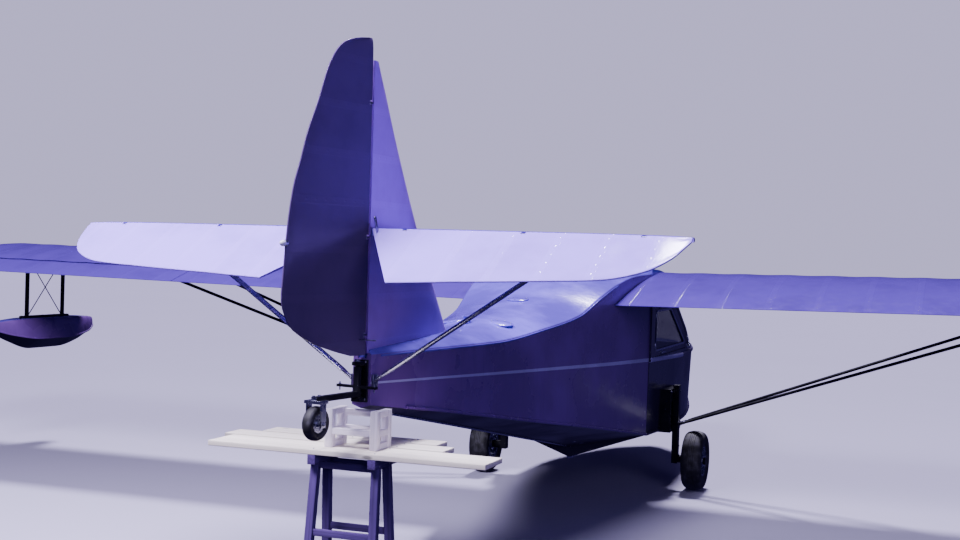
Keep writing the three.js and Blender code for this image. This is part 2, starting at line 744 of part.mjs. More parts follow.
const crown = slab(
  -outerLeg,
  outerLeg,
  wheelY - CROWN_HALF,
  wheelY + CROWN_HALF,
  crownZ,
  crownZ + CROWN_THICK,
);
const fork = cut(
  join(
    upright(FORK.sleeve, FORK.low, FORK.high),
    forkArm,
    tiller,
    crown,
    blade(FORK.leg, outerLeg),
    blade(-outerLeg, -FORK.leg),
    along(-outerLeg - 4, outerLeg + 4, wheelY, TAILWHEEL.z, 6),
  ),
  upright(FORK.bore, 900, 1300),
);
const tailHub = turned(
  [
    [TAILWHEEL.bore, -30], [14, -30], [16, -18], [TAILWHEEL.rim - GAP, -18],
    [TAILWHEEL.rim - GAP, 18], [16, 18], [14, 30], [TAILWHEEL.bore, 30],
  ],
  24,
);
const tailTyre = turned(tyreSection(TAILWHEEL.rim, TAILWHEEL.radius, TAILWHEEL.width), 24);

// Wooden trestle, planks and an open crib that hold the tail level.
const TRESTLE = { top: 780, half: 152, bar: 38, foot: 172 };
// Columns: top station, foot station of a pair of legs.
const LEG_PAIRS = [
  [-140, -210],
  [-30, 40],
];
const RUNGS = { heights: [120, 420, 730], half: 16, thick: 22 };
const TOP_RAIL = { rear: -200, front: 370, half: 20, deep: 45 };
const legStation = ([top, foot], z) => foot + ((top - foot) * z) / TRESTLE.top;
const legLateral = (z) => TRESTLE.foot + ((TRESTLE.half - TRESTLE.foot) * z) / TRESTLE.top;
function leg(side, pair) {
  const half = TRESTLE.bar / 2;
  const ring = (z) => {
    const x = side * legLateral(z);
    const s = legStation(pair, z);
    return [[x - half, s - half], [x + half, s - half], [x + half, s + half], [x - half, s + half]]
      .map(([lateral, station]) => point(lateral, station, z));
  };
  return closed(loft([ring(0), ring(TRESTLE.top)]));
}
const trestle = join(
  ...LEG_PAIRS.flatMap((pair) => [-1, 1].map((side) => leg(side, pair))),
  ...LEG_PAIRS.flatMap((pair) =>
    RUNGS.heights.map((z) => {
      const x = legLateral(z);
      const s = legStation(pair, z);
      return block(
        [-x, s - RUNGS.thick / 2, z - RUNGS.half],
        [x, s + RUNGS.thick / 2, z + RUNGS.half],
      );
    }),
  ),
  ...[-1, 1].map((side) => {
    const x = side * TRESTLE.half;
    return block(
      [x - TOP_RAIL.half, TOP_RAIL.rear, TRESTLE.top - TOP_RAIL.deep],
      [x + TOP_RAIL.half, TOP_RAIL.front, TRESTLE.top],
    );
  }),
);
// Columns: rear station, front station, port end, starboard end.
const PLANKS = [
  [-200, 30, -700, 700],
  [50, 200, -760, 400],
  [215, 365, -640, 300],
];
const PLANK_THICKNESS = 25;
const plankTop = TRESTLE.top + GAP + PLANK_THICKNESS;
const CRIB = { rear: -105, front: 60, half: 115, bar: 38, top: 985, low: plankTop + GAP };
const CRIB_RAIL = { deep: 30, middle: plankTop + 62 };
const keelAt = (station) => 985 - (station * (985 - 876)) / 600;
const underKeel = (station) => keelAt(station + CRIB.bar) - GAP - CRIB_RAIL.deep;
const cribFront = CRIB.front - CRIB.bar; // rear face of the front posts

// A block along one side of the crib.
const cribSide = (side, rear, front, low, high) =>
  block(
    [side * CRIB.half - CRIB.bar / 2, rear, low],
    [side * CRIB.half + CRIB.bar / 2, front, high],
  );
const cribPosts = [CRIB.rear, cribFront].flatMap((s) =>
  [-1, 1].map((side) => cribSide(side, s, s + CRIB.bar, CRIB.low, CRIB.top)),
);
const cribRails = [CRIB.low, CRIB_RAIL.middle, CRIB.top - CRIB_RAIL.deep].flatMap((z) =>
  [-1, 1].map((side) => cribSide(side, CRIB.rear, CRIB.front, z, z + CRIB_RAIL.deep)),
);
// Columns: rear face, underside.
const cribBars = [
  [CRIB.rear, CRIB_RAIL.middle],
  [cribFront, CRIB_RAIL.middle],
  [cribFront, underKeel(cribFront)],
].map(([s, z]) =>
  block([-CRIB.half, s, z], [CRIB.half, s + CRIB.bar, z + CRIB_RAIL.deep]),
);
const crib = join(...cribPosts, ...cribRails, ...cribBars);

// Cabin furniture.
const SEAT = { half: 500, rear: 3820, front: 4300, top: FLOOR_Z + 120, backTop: 1090, lean: 100 };
const seatCushion = block([-SEAT.half, SEAT.rear, FLOOR_Z + GAP], [SEAT.half, SEAT.front, SEAT.top]);
const seatBack = sideView(
  [
    [SEAT.rear - 30, SEAT.top + GAP],
    [SEAT.rear + 70, SEAT.top + GAP],
    [SEAT.rear + 60 - SEAT.lean, SEAT.backTop],
    [SEAT.rear - 20 - SEAT.lean, SEAT.backTop],
  ],
  -SEAT.half,
  SEAT.half,
);
const PANEL = { station: 4990, half: 535, thickness: 22, low: 760 };
const panel = block(
  [-PANEL.half, PANEL.station, PANEL.low],
  [PANEL.half, PANEL.station + PANEL.thickness, SILL_Z - 10],
);
const COLUMN = { station: 4720, radius: 16, top: 880, base: [60, 40, 30] };
const YOKE = { lateral: 260, z: 860, bar: 13, half: 70, arm: 11, grip: 12, low: 850, high: 930 };
const columnAt = (x, z) => point(x, COLUMN.station, z);
const yokeArm = (side, way) => {
  const x = side * YOKE.lateral + way * YOKE.half;
  return join(
    rod(columnAt(side * YOKE.lateral, YOKE.z), columnAt(x, YOKE.z), YOKE.arm),
    rod(columnAt(x, YOKE.low), columnAt(x, YOKE.high), YOKE.grip),
  );
};
const [baseHalf, baseReach, baseHigh] = COLUMN.base;
const column = join(
  rod(columnAt(0, FLOOR_Z + GAP), columnAt(0, COLUMN.top), COLUMN.radius),
  rod(columnAt(-YOKE.lateral, YOKE.z), columnAt(YOKE.lateral, YOKE.z), YOKE.bar),
  block(
    [-baseHalf, COLUMN.station - baseReach, FLOOR_Z + GAP],
    [baseHalf, COLUMN.station + baseReach, FLOOR_Z + baseHigh],
  ),
  ...[-1, 1].flatMap((side) => [-1, 1].map((way) => yokeArm(side, way))),
);

// Assembly.
piece(part, "hull_afterbody", afterbody, materials.hull);
piece(part, "hull_forebody", forebody, materials.hull);
piece(part, "cabin_frame", cabinFrame, materials.hull);
piece(part, "wing_center_section", roof, materials.cream);
piece(part, "pylon_base", pylonBase, materials.metal);
piece(part, "windshield", screenPane, materials.glass);
piece(part, "seat_cushion", seatCushion, materials.leather);
piece(part, "seat_back", seatBack, materials.leather);
piece(part, "instrument_panel", panel, materials.panel);
piece(part, "control_column", column, materials.steel);
piece(part, "fin", fin, materials.cream);
piece(part, "tail_bracket", tailBracket, materials.steel);
piece(part, "stand_trestle", trestle, materials.wood);
piece(part, "stand_crib", crib, materials.plank);
PLANKS.forEach(([rear, front, port, starboard], i) => {
  const board = block([port, rear, TRESTLE.top + GAP], [starboard, front, plankTop]);
  piece(part, `stand_plank_${i + 1}`, board, materials.plank);
});

const rudderGroup = new THREE.Group();
rudderGroup.position.set(0, HINGE_Y, 0);
rudderGroup.rotation.z = RUDDER_REST;
part.add(rudderGroup);
piece(rudderGroup, "rudder", rudder, materials.fabric).rotation.y = -Math.PI / 2;
const LIGHT = { height: 1750, chord: 598, radius: 15, length: 34 };
const tailLight = rod(
  new THREE.Vector3(0, -LIGHT.chord - GAP, LIGHT.height),
  new THREE.Vector3(0, -LIGHT.chord - LIGHT.length, LIGHT.height),
  LIGHT.radius,
);
piece(rudderGroup, "tail_light", tailLight, materials.glass);

const swivel = new THREE.Group();
swivel.position.set(0, HINGE_Y + KINGPIN_STATION, 0);
swivel.rotation.z = RUDDER_REST;
part.add(swivel);
piece(swivel, "tailwheel_fork", fork, materials.steel);
const tailWheel = new THREE.Group();
tailWheel.position.set(0, wheelY, TAILWHEEL.z);
swivel.add(tailWheel);
piece(tailWheel, "tailwheel_hub", tailHub, materials.metal);
piece(tailWheel, "tailwheel_tyre", tailTyre, materials.rubber);

for (const [name, side] of [["right", 1], ["left", -1]]) {
  const add = (label, geometry, material) =>
    piece(part, `${label}_${name}`, sided(geometry, side), material);

  const wing = new THREE.Group();
  wing.position.set(side * WING_ROOT, 0, TRAILING_Z);
  wing.rotation.y = -side * DIHEDRAL;
  part.add(wing);
  wing.updateMatrixWorld(true);
  const toWing = wing.matrixWorld.clone().invert();
  const cabinBlock = block([0, STEP_STATION - 5, 1300], [side * WING_ROOT, 4400, 1700]);
  const hullInWing = [afterbody, roof, cabinFrame, cabinBlock]
    .map((g) => moved(g, side * GAP, 0, 0).applyMatrix4(toWing));
  piece(wing, `wing_${name}`, cut(sided(wingPanel, side), ...hullInWing), materials.fabric);
  piece(wing, `aileron_${name}`, sided(aileron, side), materials.fabric);
  const lowerWing = sided(wingPanel, side)
    .clone()
    .applyMatrix4(wing.matrixWorld)
    .translate(0, 0, -GAP);

  for (const [place, foot, head] of LIFT_STRUTS) {
    const strut = member(
      point(side * STRUT.footX, foot, STRUT.footZ),
      point(side * STRUT.head, head, wingMidZ(STRUT.head, head)),
      STRUT.chord,
      STRUT.thickness,
    );
    const seated = cut(strut, lowerWing, sided(moved(gearLeg, GAP, 0, GAP), side));
    piece(part, `lift_strut_${place}_${name}`, seated, materials.steel);
  }
  add("tip_float", tipFloat, materials.hull);
  const floatStruts = cut(
    sided(floatStrutBlank, side),
    lowerWing,
    sided(moved(tipFloat, 0, 0, GAP), side),
  );
  piece(part, `float_struts_${name}`, floatStruts, materials.steel);

  const stabilizer = cut(sided(stabilizerBlank, side), moved(finUpright, side * GAP, 0, 0));
  piece(part, `stabilizer_${name}`, stabilizer, materials.cream);
  const tailStrut = cut(
    sided(tailStrutBlank, side),
    moved(afterbody, side * GAP, 0, 0),
    moved(stabilizer, 0, 0, -GAP),
  );
  piece(part, `tail_strut_${name}`, tailStrut, materials.metal);
  const elevatorGroup = new THREE.Group();
  elevatorGroup.position.set(0, HINGE_Y, TAILPLANE_Z);
  elevatorGroup.rotation.x = ELEVATOR_REST;
  part.add(elevatorGroup);
  piece(elevatorGroup, `elevator_${name}`, sided(elevator, side), materials.fabric);

  add("hatch", hatch, materials.hull);
  add("hatch_glass", hatchPane, materials.glass);
  add("quarter_glass", sideView(quarterOutline(GAP), 566, 572), materials.glass);

  add("gear_leg", gearLeg, materials.steel);
  const wheel = new THREE.Group();
  wheel.position.copy(point(side * WHEEL.lateral, WHEEL.station, WHEEL.radius));
  part.add(wheel);
  piece(wheel, `wheel_hub_${name}`, wheelHub, materials.metal);
  piece(wheel, `tyre_${name}`, tyre, materials.rubber);
}

export default part;
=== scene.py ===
"""A light amphibious flying boat, parked on its wheels with its tail held level on a trestle.

Metres, +X to starboard, +Y to the nose, +Z up. A station is the distance ahead of the rudder hinge
line. Every surface is worked out as whole arrays of points, and laid round the fixed frame.
"""

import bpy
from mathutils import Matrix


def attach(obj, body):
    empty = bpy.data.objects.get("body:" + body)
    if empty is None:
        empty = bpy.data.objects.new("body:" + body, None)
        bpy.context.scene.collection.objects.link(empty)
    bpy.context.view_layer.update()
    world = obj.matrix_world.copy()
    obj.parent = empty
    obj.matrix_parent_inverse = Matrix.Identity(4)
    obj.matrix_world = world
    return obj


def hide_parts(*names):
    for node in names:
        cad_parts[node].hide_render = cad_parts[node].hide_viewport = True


bl_info = {
    "name": "Light flying boat",
    "version": (1, 0, 0),
    "blender": (4, 5, 0),
    "location": "View3D > Sidebar > Flying boat",
    "description": "Builds the looks of a parked light amphibious flying boat around its frame",
    "category": "Add Mesh",
}

from itertools import count
from math import pi, radians

import bmesh
import bpy
import numpy as np
from bpy.props import FloatProperty, FloatVectorProperty, IntProperty, PointerProperty
from mathutils import Quaternion, Vector

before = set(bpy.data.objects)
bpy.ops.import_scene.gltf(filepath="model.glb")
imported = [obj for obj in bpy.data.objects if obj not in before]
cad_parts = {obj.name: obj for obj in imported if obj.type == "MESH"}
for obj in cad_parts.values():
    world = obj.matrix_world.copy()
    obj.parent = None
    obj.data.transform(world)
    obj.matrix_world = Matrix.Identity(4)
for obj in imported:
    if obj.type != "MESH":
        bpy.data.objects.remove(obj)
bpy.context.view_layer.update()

# Places that the frame was built from. Lengths in metres, angles in radians.
MID_STATION = 3.0375
HINGE_Y = -MID_STATION  # rudder and elevator hinge lines
TAILPLANE_Z = 1.816
TAIL_HALF_SPAN = 1.54
RUDDER_REST = radians(-10)
ELEVATOR_REST = radians(26.6)
WING_ROOT = 0.575
HALF_SPAN = 5.56
WING_END = HALF_SPAN - WING_ROOT
CHORD = 1.524
INCIDENCE = radians(3.5)
DIHEDRAL = radians(0.8)
TRAILING_STATION = 2.835
TRAILING_Z = 1.405
STEP_STATION = 3.6
CABIN_END = 5.225
BOW_STATION = 6.7
SILL_Z = 0.98
ROOF_Z = 1.46
FLOOR_Z = 0.44
FRAME_HALF = 0.585
WHEEL = {
    "x": 0.83,
    "y": 4.12 - MID_STATION,
    "z": 0.22,
    "radius": 0.22,
    "rim": 0.112,
    "width": 0.15,
    "bolts": (6, 0.072),  # how many, and the radius of their ring
    "bolt": 0.006,
    "web": 0.022,
}
TAILWHEEL = {
    "arm": 0.31,
    "z": 0.95,
    "radius": 0.078,
    "rim": 0.042,
    "width": 0.05,
    "bolts": (5, 0.028),
    "bolt": 0.003,
    "web": 0.018,
}
KINGPIN = np.array([0, HINGE_Y - 0.05, 0])
WELD = 1e-5  # points closer than this become one
SHARP_FROM, BEVEL_FROM = radians(32), radians(38)  # edges that bend by more are sharp, or rounded
SIDES = ((1, "right"), (-1, "left"))
PORT = np.array([-1, 1, 1])  # turns starboard points over to port
# Where the first rib of a tail surface stands: lateral of the tailplane, height of the fin.
TAIL_RIB_START, FIN_RIB_START = 0.08, 1.29


def linear(code):
    """An sRGB hex colour as linear red, green and blue."""
    value = np.array([int(code[i : i + 2], 16) for i in (1, 3, 5)]) / 255
    return tuple(np.where(value <= 0.04045, value / 12.92, ((value + 0.055) / 1.055) ** 2.4))


def swatch(label, description, code):
    return FloatVectorProperty(
        name=label, description=description, default=linear(code), subtype="COLOR", size=3, min=0, max=1
    )


def length(label, description, default):
    return FloatProperty(name=label, description=description, default=default, unit="LENGTH", min=0)


class BoatColours(bpy.types.PropertyGroup):
    hull: swatch("Hull", "Gloss enamel of the hull sides", "#7A52A2")
    # Cabin: the hull's indigo made much darker, a painted shadow of the wing over forebody and cabin
    cabin: swatch("Cabin", "Gloss enamel of forebody and cabin", "#35284F")
    bottom: swatch("Bottom", "Enamel of the planing bottom", "#272038")
    deck: swatch("Deck", "Pale enamel of deck and roof", "#6F5CD2")
    stripe: swatch("Stripe", "Line along the hull sides", "#C3B9EE")
    fabric: swatch("Fabric", "Doped cover of the tailplane", "#A58AF6")
    # Wing: a dark violet in place of the tailplane's pale cloth, a painted shadow on wings and ailerons
    wing: swatch("Wing", "Doped cover of the wings", "#543C9C")
    # Fin: its own tint of the tail cloth, painted grazing light on its side
    fin: swatch("Fin", "Doped cover of the fin", "#BE88F4")
    # Rudder: the pale tail cloth made dark indigo, painted shade on a face turned from the light
    rudder: swatch("Rudder", "Doped cover of the rudder", "#5E4A7A")
    metal: swatch("Metal", "Bare light alloy", "#B9BACB")
    steel: swatch("Steel", "Dark painted steel tube", "#100F18")
    zinc: swatch("Zinc", "Plated bolts and fittings", "#8F8DA6")
    rubber: swatch("Rubber", "Tyres", "#17161C")
    # Acrylic: a dark, half clear sheet, painted shade of the dim cabin behind the panes
    acrylic: swatch("Acrylic", "Window sheet", "#252C40")
    vinyl: swatch("Vinyl", "Seat cover", "#4A352F")
    lining: swatch("Lining", "Painted plywood inside the cabin", "#6F7389")
    panel: swatch("Panel", "Wrinkle finish of the instrument board", "#1B1B22")
    old_wood: swatch("Old wood", "Weathered softwood of the trestle", "#5E4688")
    new_wood: swatch("New wood", "Blocks of the crib", "#EDE6F2")
    board_wood: swatch("Board wood", "Fresh boards", "#FBF4E4")


class BoatSizes(bpy.types.PropertyGroup):
    rib_spacing: length("Wing ribs", "Distance between two ribs of the wing", 0.305)
    tail_rib_spacing: length("Tail ribs", "Distance between two ribs of a tail surface", 0.22)
    sag: length("Sag", "How far the cover sinks between two ribs", 0.0035)
    tape: length("Tape", "Width of the tape over a rib", 0.045)
    stripe_aft: length("Stripe aft", "Width of the hull stripe at the tail", 0.010)
    stripe_fore: length("Stripe fore", "Width of the hull stripe at the cabin", 0.026)
    tread_grooves: IntProperty(name="Grooves", description="Grooves round a main tyre", default=4, min=0)


def place(x, station, z):
    """Lateral, station and height as points of the frame."""
    x, station, z = np.broadcast_arrays(x, station, z)
    return np.stack([x, station - MID_STATION, z], -1).astype(float)


def smooth(rows, at):
    """The columns of a table at any value of its first column.

    Between two rows each column is a cubic. Its slope at a row is the weighted harmonic mean of the
    chords on both sides, and nought where they change sign, so the curve never overshoots.
    """
    rows = np.asarray(rows, float)
    x, y = rows[:, 0], rows[:, 1:]
    step = np.diff(x)[:, None]
    chord = np.diff(y, axis=0) / step
    before, after = chord[:-1], chord[1:]
    near, far = 2 * step[1:] + step[:-1], step[1:] + 2 * step[:-1]
    same = before * after > 0
    safe_before, safe_after = np.where(same, before, 1), np.where(same, after, 1)
    slope = np.empty_like(y)
    slope[1:-1] = np.where(same, (near + far) / (near / safe_before + far / safe_after), 0)
    slope[0], slope[-1] = chord[0], chord[-1]
    at = np.clip(np.asarray(at, float), x[0], x[-1])
    i = np.clip(np.searchsorted(x, at) - 1, 0, len(x) - 2)
    h = step[i]
    t = (at - x[i])[..., None] / h
    rise = y[i] * (1 + 2 * t) * (1 - t) ** 2 + y[i + 1] * t * t * (3 - 2 * t)
    return rise + h * t * (1 - t) * (slope[i] * (1 - t) - slope[i + 1] * t)


def ease(low, high, value):
    """Nought below low, one above high, and a smooth S between."""
    t = np.clip((value - low) / (high - low), 0, 1)
    return t * t * (3 - 2 * t)


def blend_between(a, b, t):
    return a + (b - a) * t


def unit(v):
    v = np.asarray(v, float)
    return v / np.linalg.norm(v, axis=-1, keepdims=True)


def turned(points, angle, axis, centre):
    """Points turned by an angle about an axis through centre: the part along the axis stays, the part
    square to it is mixed with its cross product by cosine and sine."""
    axis, centre = unit(axis), np.asarray(centre, float)
    offset = points - centre
    along = (offset @ axis)[..., None] * axis
    square = offset - along
    return centre + along + square * np.cos(angle) + np.cross(axis, square) * np.sin(angle)


def read(items, field):
    """A vector of each item, as the rows of an array."""
    values = np.empty(3 * len(items), np.float32)
    items.foreach_get(field, values)
    return values.reshape(-1, 3)


def write(items, field, values):
    items.foreach_set(field, np.asarray(values, np.float32).ravel())


class Skin:
    """The surfaces of one piece, gathered as grids of points and then put into one mesh."""

    def __init__(self):
        self.points, self.local, self.faces, self.paint = [], [], [], []
        self.total = 0

    def add(self, points, faces, paint=0, local=None):
        flat = np.reshape(points, (-1, 3))
        self.points.append(flat)
        self.local.append(flat if local is None else np.reshape(local, (-1, 3)))
        self.faces.extend((np.asarray(faces) + self.total).tolist())
        self.paint.append(np.broadcast_to(paint, len(faces)))
        self.total += len(flat)

    def grid(self, points, paint=0, wrap=False, ends=False, local=None, cap=None):
        """Quads between the neighbours of a grid. Wrap joins the last column to the first. Ends closes
        the first and the last row, or the rows that it names, in the paint of the first column or in
        cap. Paint is a material number, or one for each column of quads."""
        rows, columns = points.shape[:2]
        number = np.arange(rows * columns).reshape(rows, columns)
        if wrap:
            number = np.hstack([number, number[:, :1]])
        corners = [number[:-1, :-1], number[:-1, 1:], number[1:, 1:], number[1:, :-1]]
        faces = np.stack(corners, -1)
        each = np.broadcast_to(paint, faces.shape[:2]).reshape(-1)
        self.add(points, faces.reshape(-1, 4), each, local)
        for row in (0, -1) if ends is True else ends or ():
            paint = each[0] if cap is None else cap
            self.fan(points[row], paint, None if local is None else local[row])

    def fan(self, ring, paint=0, local=None):
        """Closes a ring by triangles to its middle."""
        number = np.arange(len(ring))
        faces = np.stack([number, np.roll(number, -1), np.full(len(ring), len(ring))], -1)
        middle = lambda a: np.vstack([a, a.mean(0)])
        self.add(middle(ring), faces, paint, middle(ring if local is None else local))

    def mirror(self):
        """Adds the port half: the same points with X turned over."""
        self.faces += [[n + self.total for n in face] for face in self.faces]
        self.points += [points * PORT for points in self.points]
        self.local *= 2
        self.paint *= 2
        self.total *= 2
        return self

    def mesh(self, name):
        mesh = bpy.data.meshes.new(name)
        mesh.from_pydata(np.concatenate(self.points), [], self.faces)
        local = mesh.attributes.new("local", "FLOAT_VECTOR", "POINT")
        write(local.data, "vector", np.concatenate(self.local))
        mesh.polygons.foreach_set("material_index", np.concatenate(self.paint).astype(np.int32))
        merged = bmesh.new()
        merged.from_mesh(mesh)
        bmesh.ops.remove_doubles(merged, verts=merged.verts, dist=WELD)
        bmesh.ops.recalc_face_normals(merged, faces=merged.faces)
        merged.to_mesh(mesh)
        merged.free()
        mesh.shade_smooth()
        mesh.set_sharp_from_angle(angle=SHARP_FROM)
        return mesh


def distances(points):
    """How far along its chords each point of a path lies."""
    return np.concatenate([[0], np.cumsum(np.linalg.norm(np.diff(points, axis=0), axis=1))])


def fading(over, reach):
    """One before nought, and a quarter ellipse down to nought at reach."""
    return np.sqrt(np.clip(1 - (np.clip(over, 0, None) / reach) ** 2, 0, 1))


def ring_about(centre, u, v, count, radius):
    """Points round a centre, in the plane of two directions."""
    ring = circle(count, radius)
    return centre + ring[:, :1] * u + ring[:, 1:] * v


def circle(sides, radius=1.0):
    angle = np.linspace(0, 2 * pi, sides, endpoint=False)
    return np.stack([np.cos(angle), np.sin(angle)], -1) * radius


def rounded(wide, deep, corner, steps=3):
    """A rectangle with quarter rounds at its corners, as points across and up."""
    turn = np.linspace(0, pi / 2, steps + 1)
    turns = np.concatenate([turn + quarter * pi / 2 for quarter in range(4)])
    side = np.repeat([[1, 1], [-1, 1], [-1, -1], [1, -1]], steps + 1, axis=0)
    centre = side * (np.array([wide, deep]) / 2 - corner)
    return centre + corner * np.stack([np.cos(turns), np.sin(turns)], -1)


def streamlined(chord, thickness, sides=24):
    """An ellipse drawn out to the rear: its thickness falls off towards the trailing edge."""
    unit_circle = circle(sides)
    slim = 0.82 + 0.18 * unit_circle[:, 0]
    return np.stack([unit_circle[:, 0] * chord / 2, unit_circle[:, 1] * slim * thickness / 2], -1)


def sweep(skin, path, section, fore=(0, 1, 0), paint=0, shift=0.0):
    """A section carried along a path, with both ends shut. Its first number goes along fore, made
    square to the path, and its second along the cross product of the path's way and that. The local
    place is that of the section and the distance along the path, moved by shift."""
    path = np.asarray(path, float)
    way = unit(np.gradient(path, axis=0))
    fore = np.asarray(fore, float)
    u = unit(fore - (way @ fore)[:, None] * way)
    v = np.cross(way, u)
    section = np.broadcast_to(section, (len(path),) + np.shape(section)[-2:])
    points = path[:, None] + section[..., :1] * u[:, None] + section[..., 1:] * v[:, None]
    far = np.broadcast_to(distances(path)[:, None, None], section.shape[:2] + (1,))
    local = np.concatenate([section, far], -1) + np.array([shift, 0, shift])
    skin.grid(points, paint, wrap=True, ends=True, local=local)


def tube(skin, path, radius, sides=16, fore=(0, 1, 0), paint=0):
    """A round tube along a path, its radius one number or one for each point of the path."""
    sweep(skin, path, circle(sides) * np.reshape(radius, (-1, 1, 1)), fore, paint)


def strut(skin, start, stop, chord, thickness, ends):
    """A streamlined tube whose section shrinks near its ends to the parts that ends gives."""
    far = np.linalg.norm(stop - start)
    t = np.array([0, 0.25, 0.5, 0.75, 1])
    neck = 1.6 * chord * t
    along = np.concatenate([neck, far - neck[::-1]])
    slim = [blend_between(ends[0], 1, ease(0, 1, t)), blend_between(1, ends[1], ease(0, 1, t))]
    path = start + along[:, None] * (stop - start) / far
    sweep(skin, path, streamlined(chord, thickness) * np.concatenate(slim)[:, None, None])


def bar(skin, start, stop, wide, deep, across, corner=0.002, paint=0, shift=0.0):
    """A straight bar with a rounded rectangular section and eased ends. Wide lies along across."""
    start, stop = np.asarray(start, float), np.asarray(stop, float)
    far = np.linalg.norm(stop - start)
    corner = min(corner, 0.45 * min(wide, deep), 0.45 * far)
    inset = corner * np.array([1, 0.3, 0, 0, 0.3, 1])
    along = np.array([0, 0.3 * corner, corner, far - corner, far - 0.3 * corner, far])
    shrink = 1 - 2 * inset[:, None, None] / np.array([wide, deep])
    path = start + along[:, None] * (stop - start) / far
    sweep(skin, path, rounded(wide, deep, corner) * shrink, across, paint, shift)


def slab(skin, low, high, corner=0.002, paint=0, shift=0.0):
    """A box between two corners with rounded edges, its run along its longest side."""
    low, high = np.minimum(low, high), np.maximum(low, high)
    size, middle = high - low, (low + high) / 2
    run, across, rest = np.argsort(-size)
    half, way = np.zeros((2, 3))
    half[run], way[across] = size[run] / 2, 1
    bar(skin, middle - half, middle + half, size[across], size[rest], way, corner, paint, shift)


def lathe(skin, profile, centre, axis, sides=32, paint=0, shut=False):
    """A profile of radius and offset turned about an axis: each point runs round a circle of its
    radius, at its offset along the axis. Shut joins the last point of the profile to the first."""
    axis, centre = unit(axis), np.asarray(centre, float)
    helper = np.array([0, 0, 1]) if abs(axis[2]) < 0.9 else np.array([1, 0, 0])
    u = unit(np.cross(helper, axis))
    ring = circle(sides) @ np.stack([u, np.cross(axis, u)])
    profile = np.asarray(profile, float)
    if shut:
        profile = np.vstack([profile, profile[:1]])
    local = profile[:, :1, None] * ring + profile[:, 1:, None] * axis
    skin.grid(centre + local, paint, wrap=True, local=local)


def disc(skin, centre, axis, radius, low, high, sides, paint=0):
    """A round plug that reaches from low to high along its axis."""
    lathe(skin, [(0, low), (radius, low), (radius, high), (0, high)], centre, axis, sides, paint)


STUD = [(0, -0.2), (1, -0.2), (1, 0.25), (0.7, 0.55), (0, 0.7)]  # radius and offset, for a radius of one
BOLT_HEAD = [(0, 0.15), (0.92, 0.15), (1, 0.25), (1, 0.7), (0.85, 0.85), (0, 0.85)]


def studs(skin, centres, out, radius, paint=0, sides=8):
    """Round heads, each a low dome that stands on the surface."""
    for centre in np.reshape(centres, (-1, 3)):
        lathe(skin, np.array(STUD) * radius, centre, out, sides, paint)


def bolt(skin, centre, out, radius, paint=0, grip=0.0):
    """A hexagon head on a washer, and a shank of length grip behind it."""
    disc(skin, centre, out, 0.5 * radius, -grip, 0, 10, paint)
    disc(skin, centre, out, 1.25 * radius, 0, 0.15 * radius, 16, paint)
    lathe(skin, np.array(BOLT_HEAD) * radius, centre, out, 6, paint)


def add(tree, kind, inputs=None, **settings):
    """Adds one node: sets its own fields, then sets or links its inputs by name or number."""
    node = tree.nodes.new("ShaderNode" + kind)
    for field, value in settings.items():
        setattr(node, field, value)
    for name, value in (inputs or {}).items():
        if isinstance(value, bpy.types.NodeSocket):
            tree.links.new(value, node.inputs[name])
        else:
            node.inputs[name].default_value = value
    return node


MIX_FACTOR, MIX_A, MIX_B, MIX_RESULT = 0, 6, 7, 2  # sockets of a colour mix


def shade(colour, factor=1.0):
    """A colour made lighter or darker, with full cover."""
    return (*np.clip(np.array(colour[:3]) * factor, 0, 1), 1)


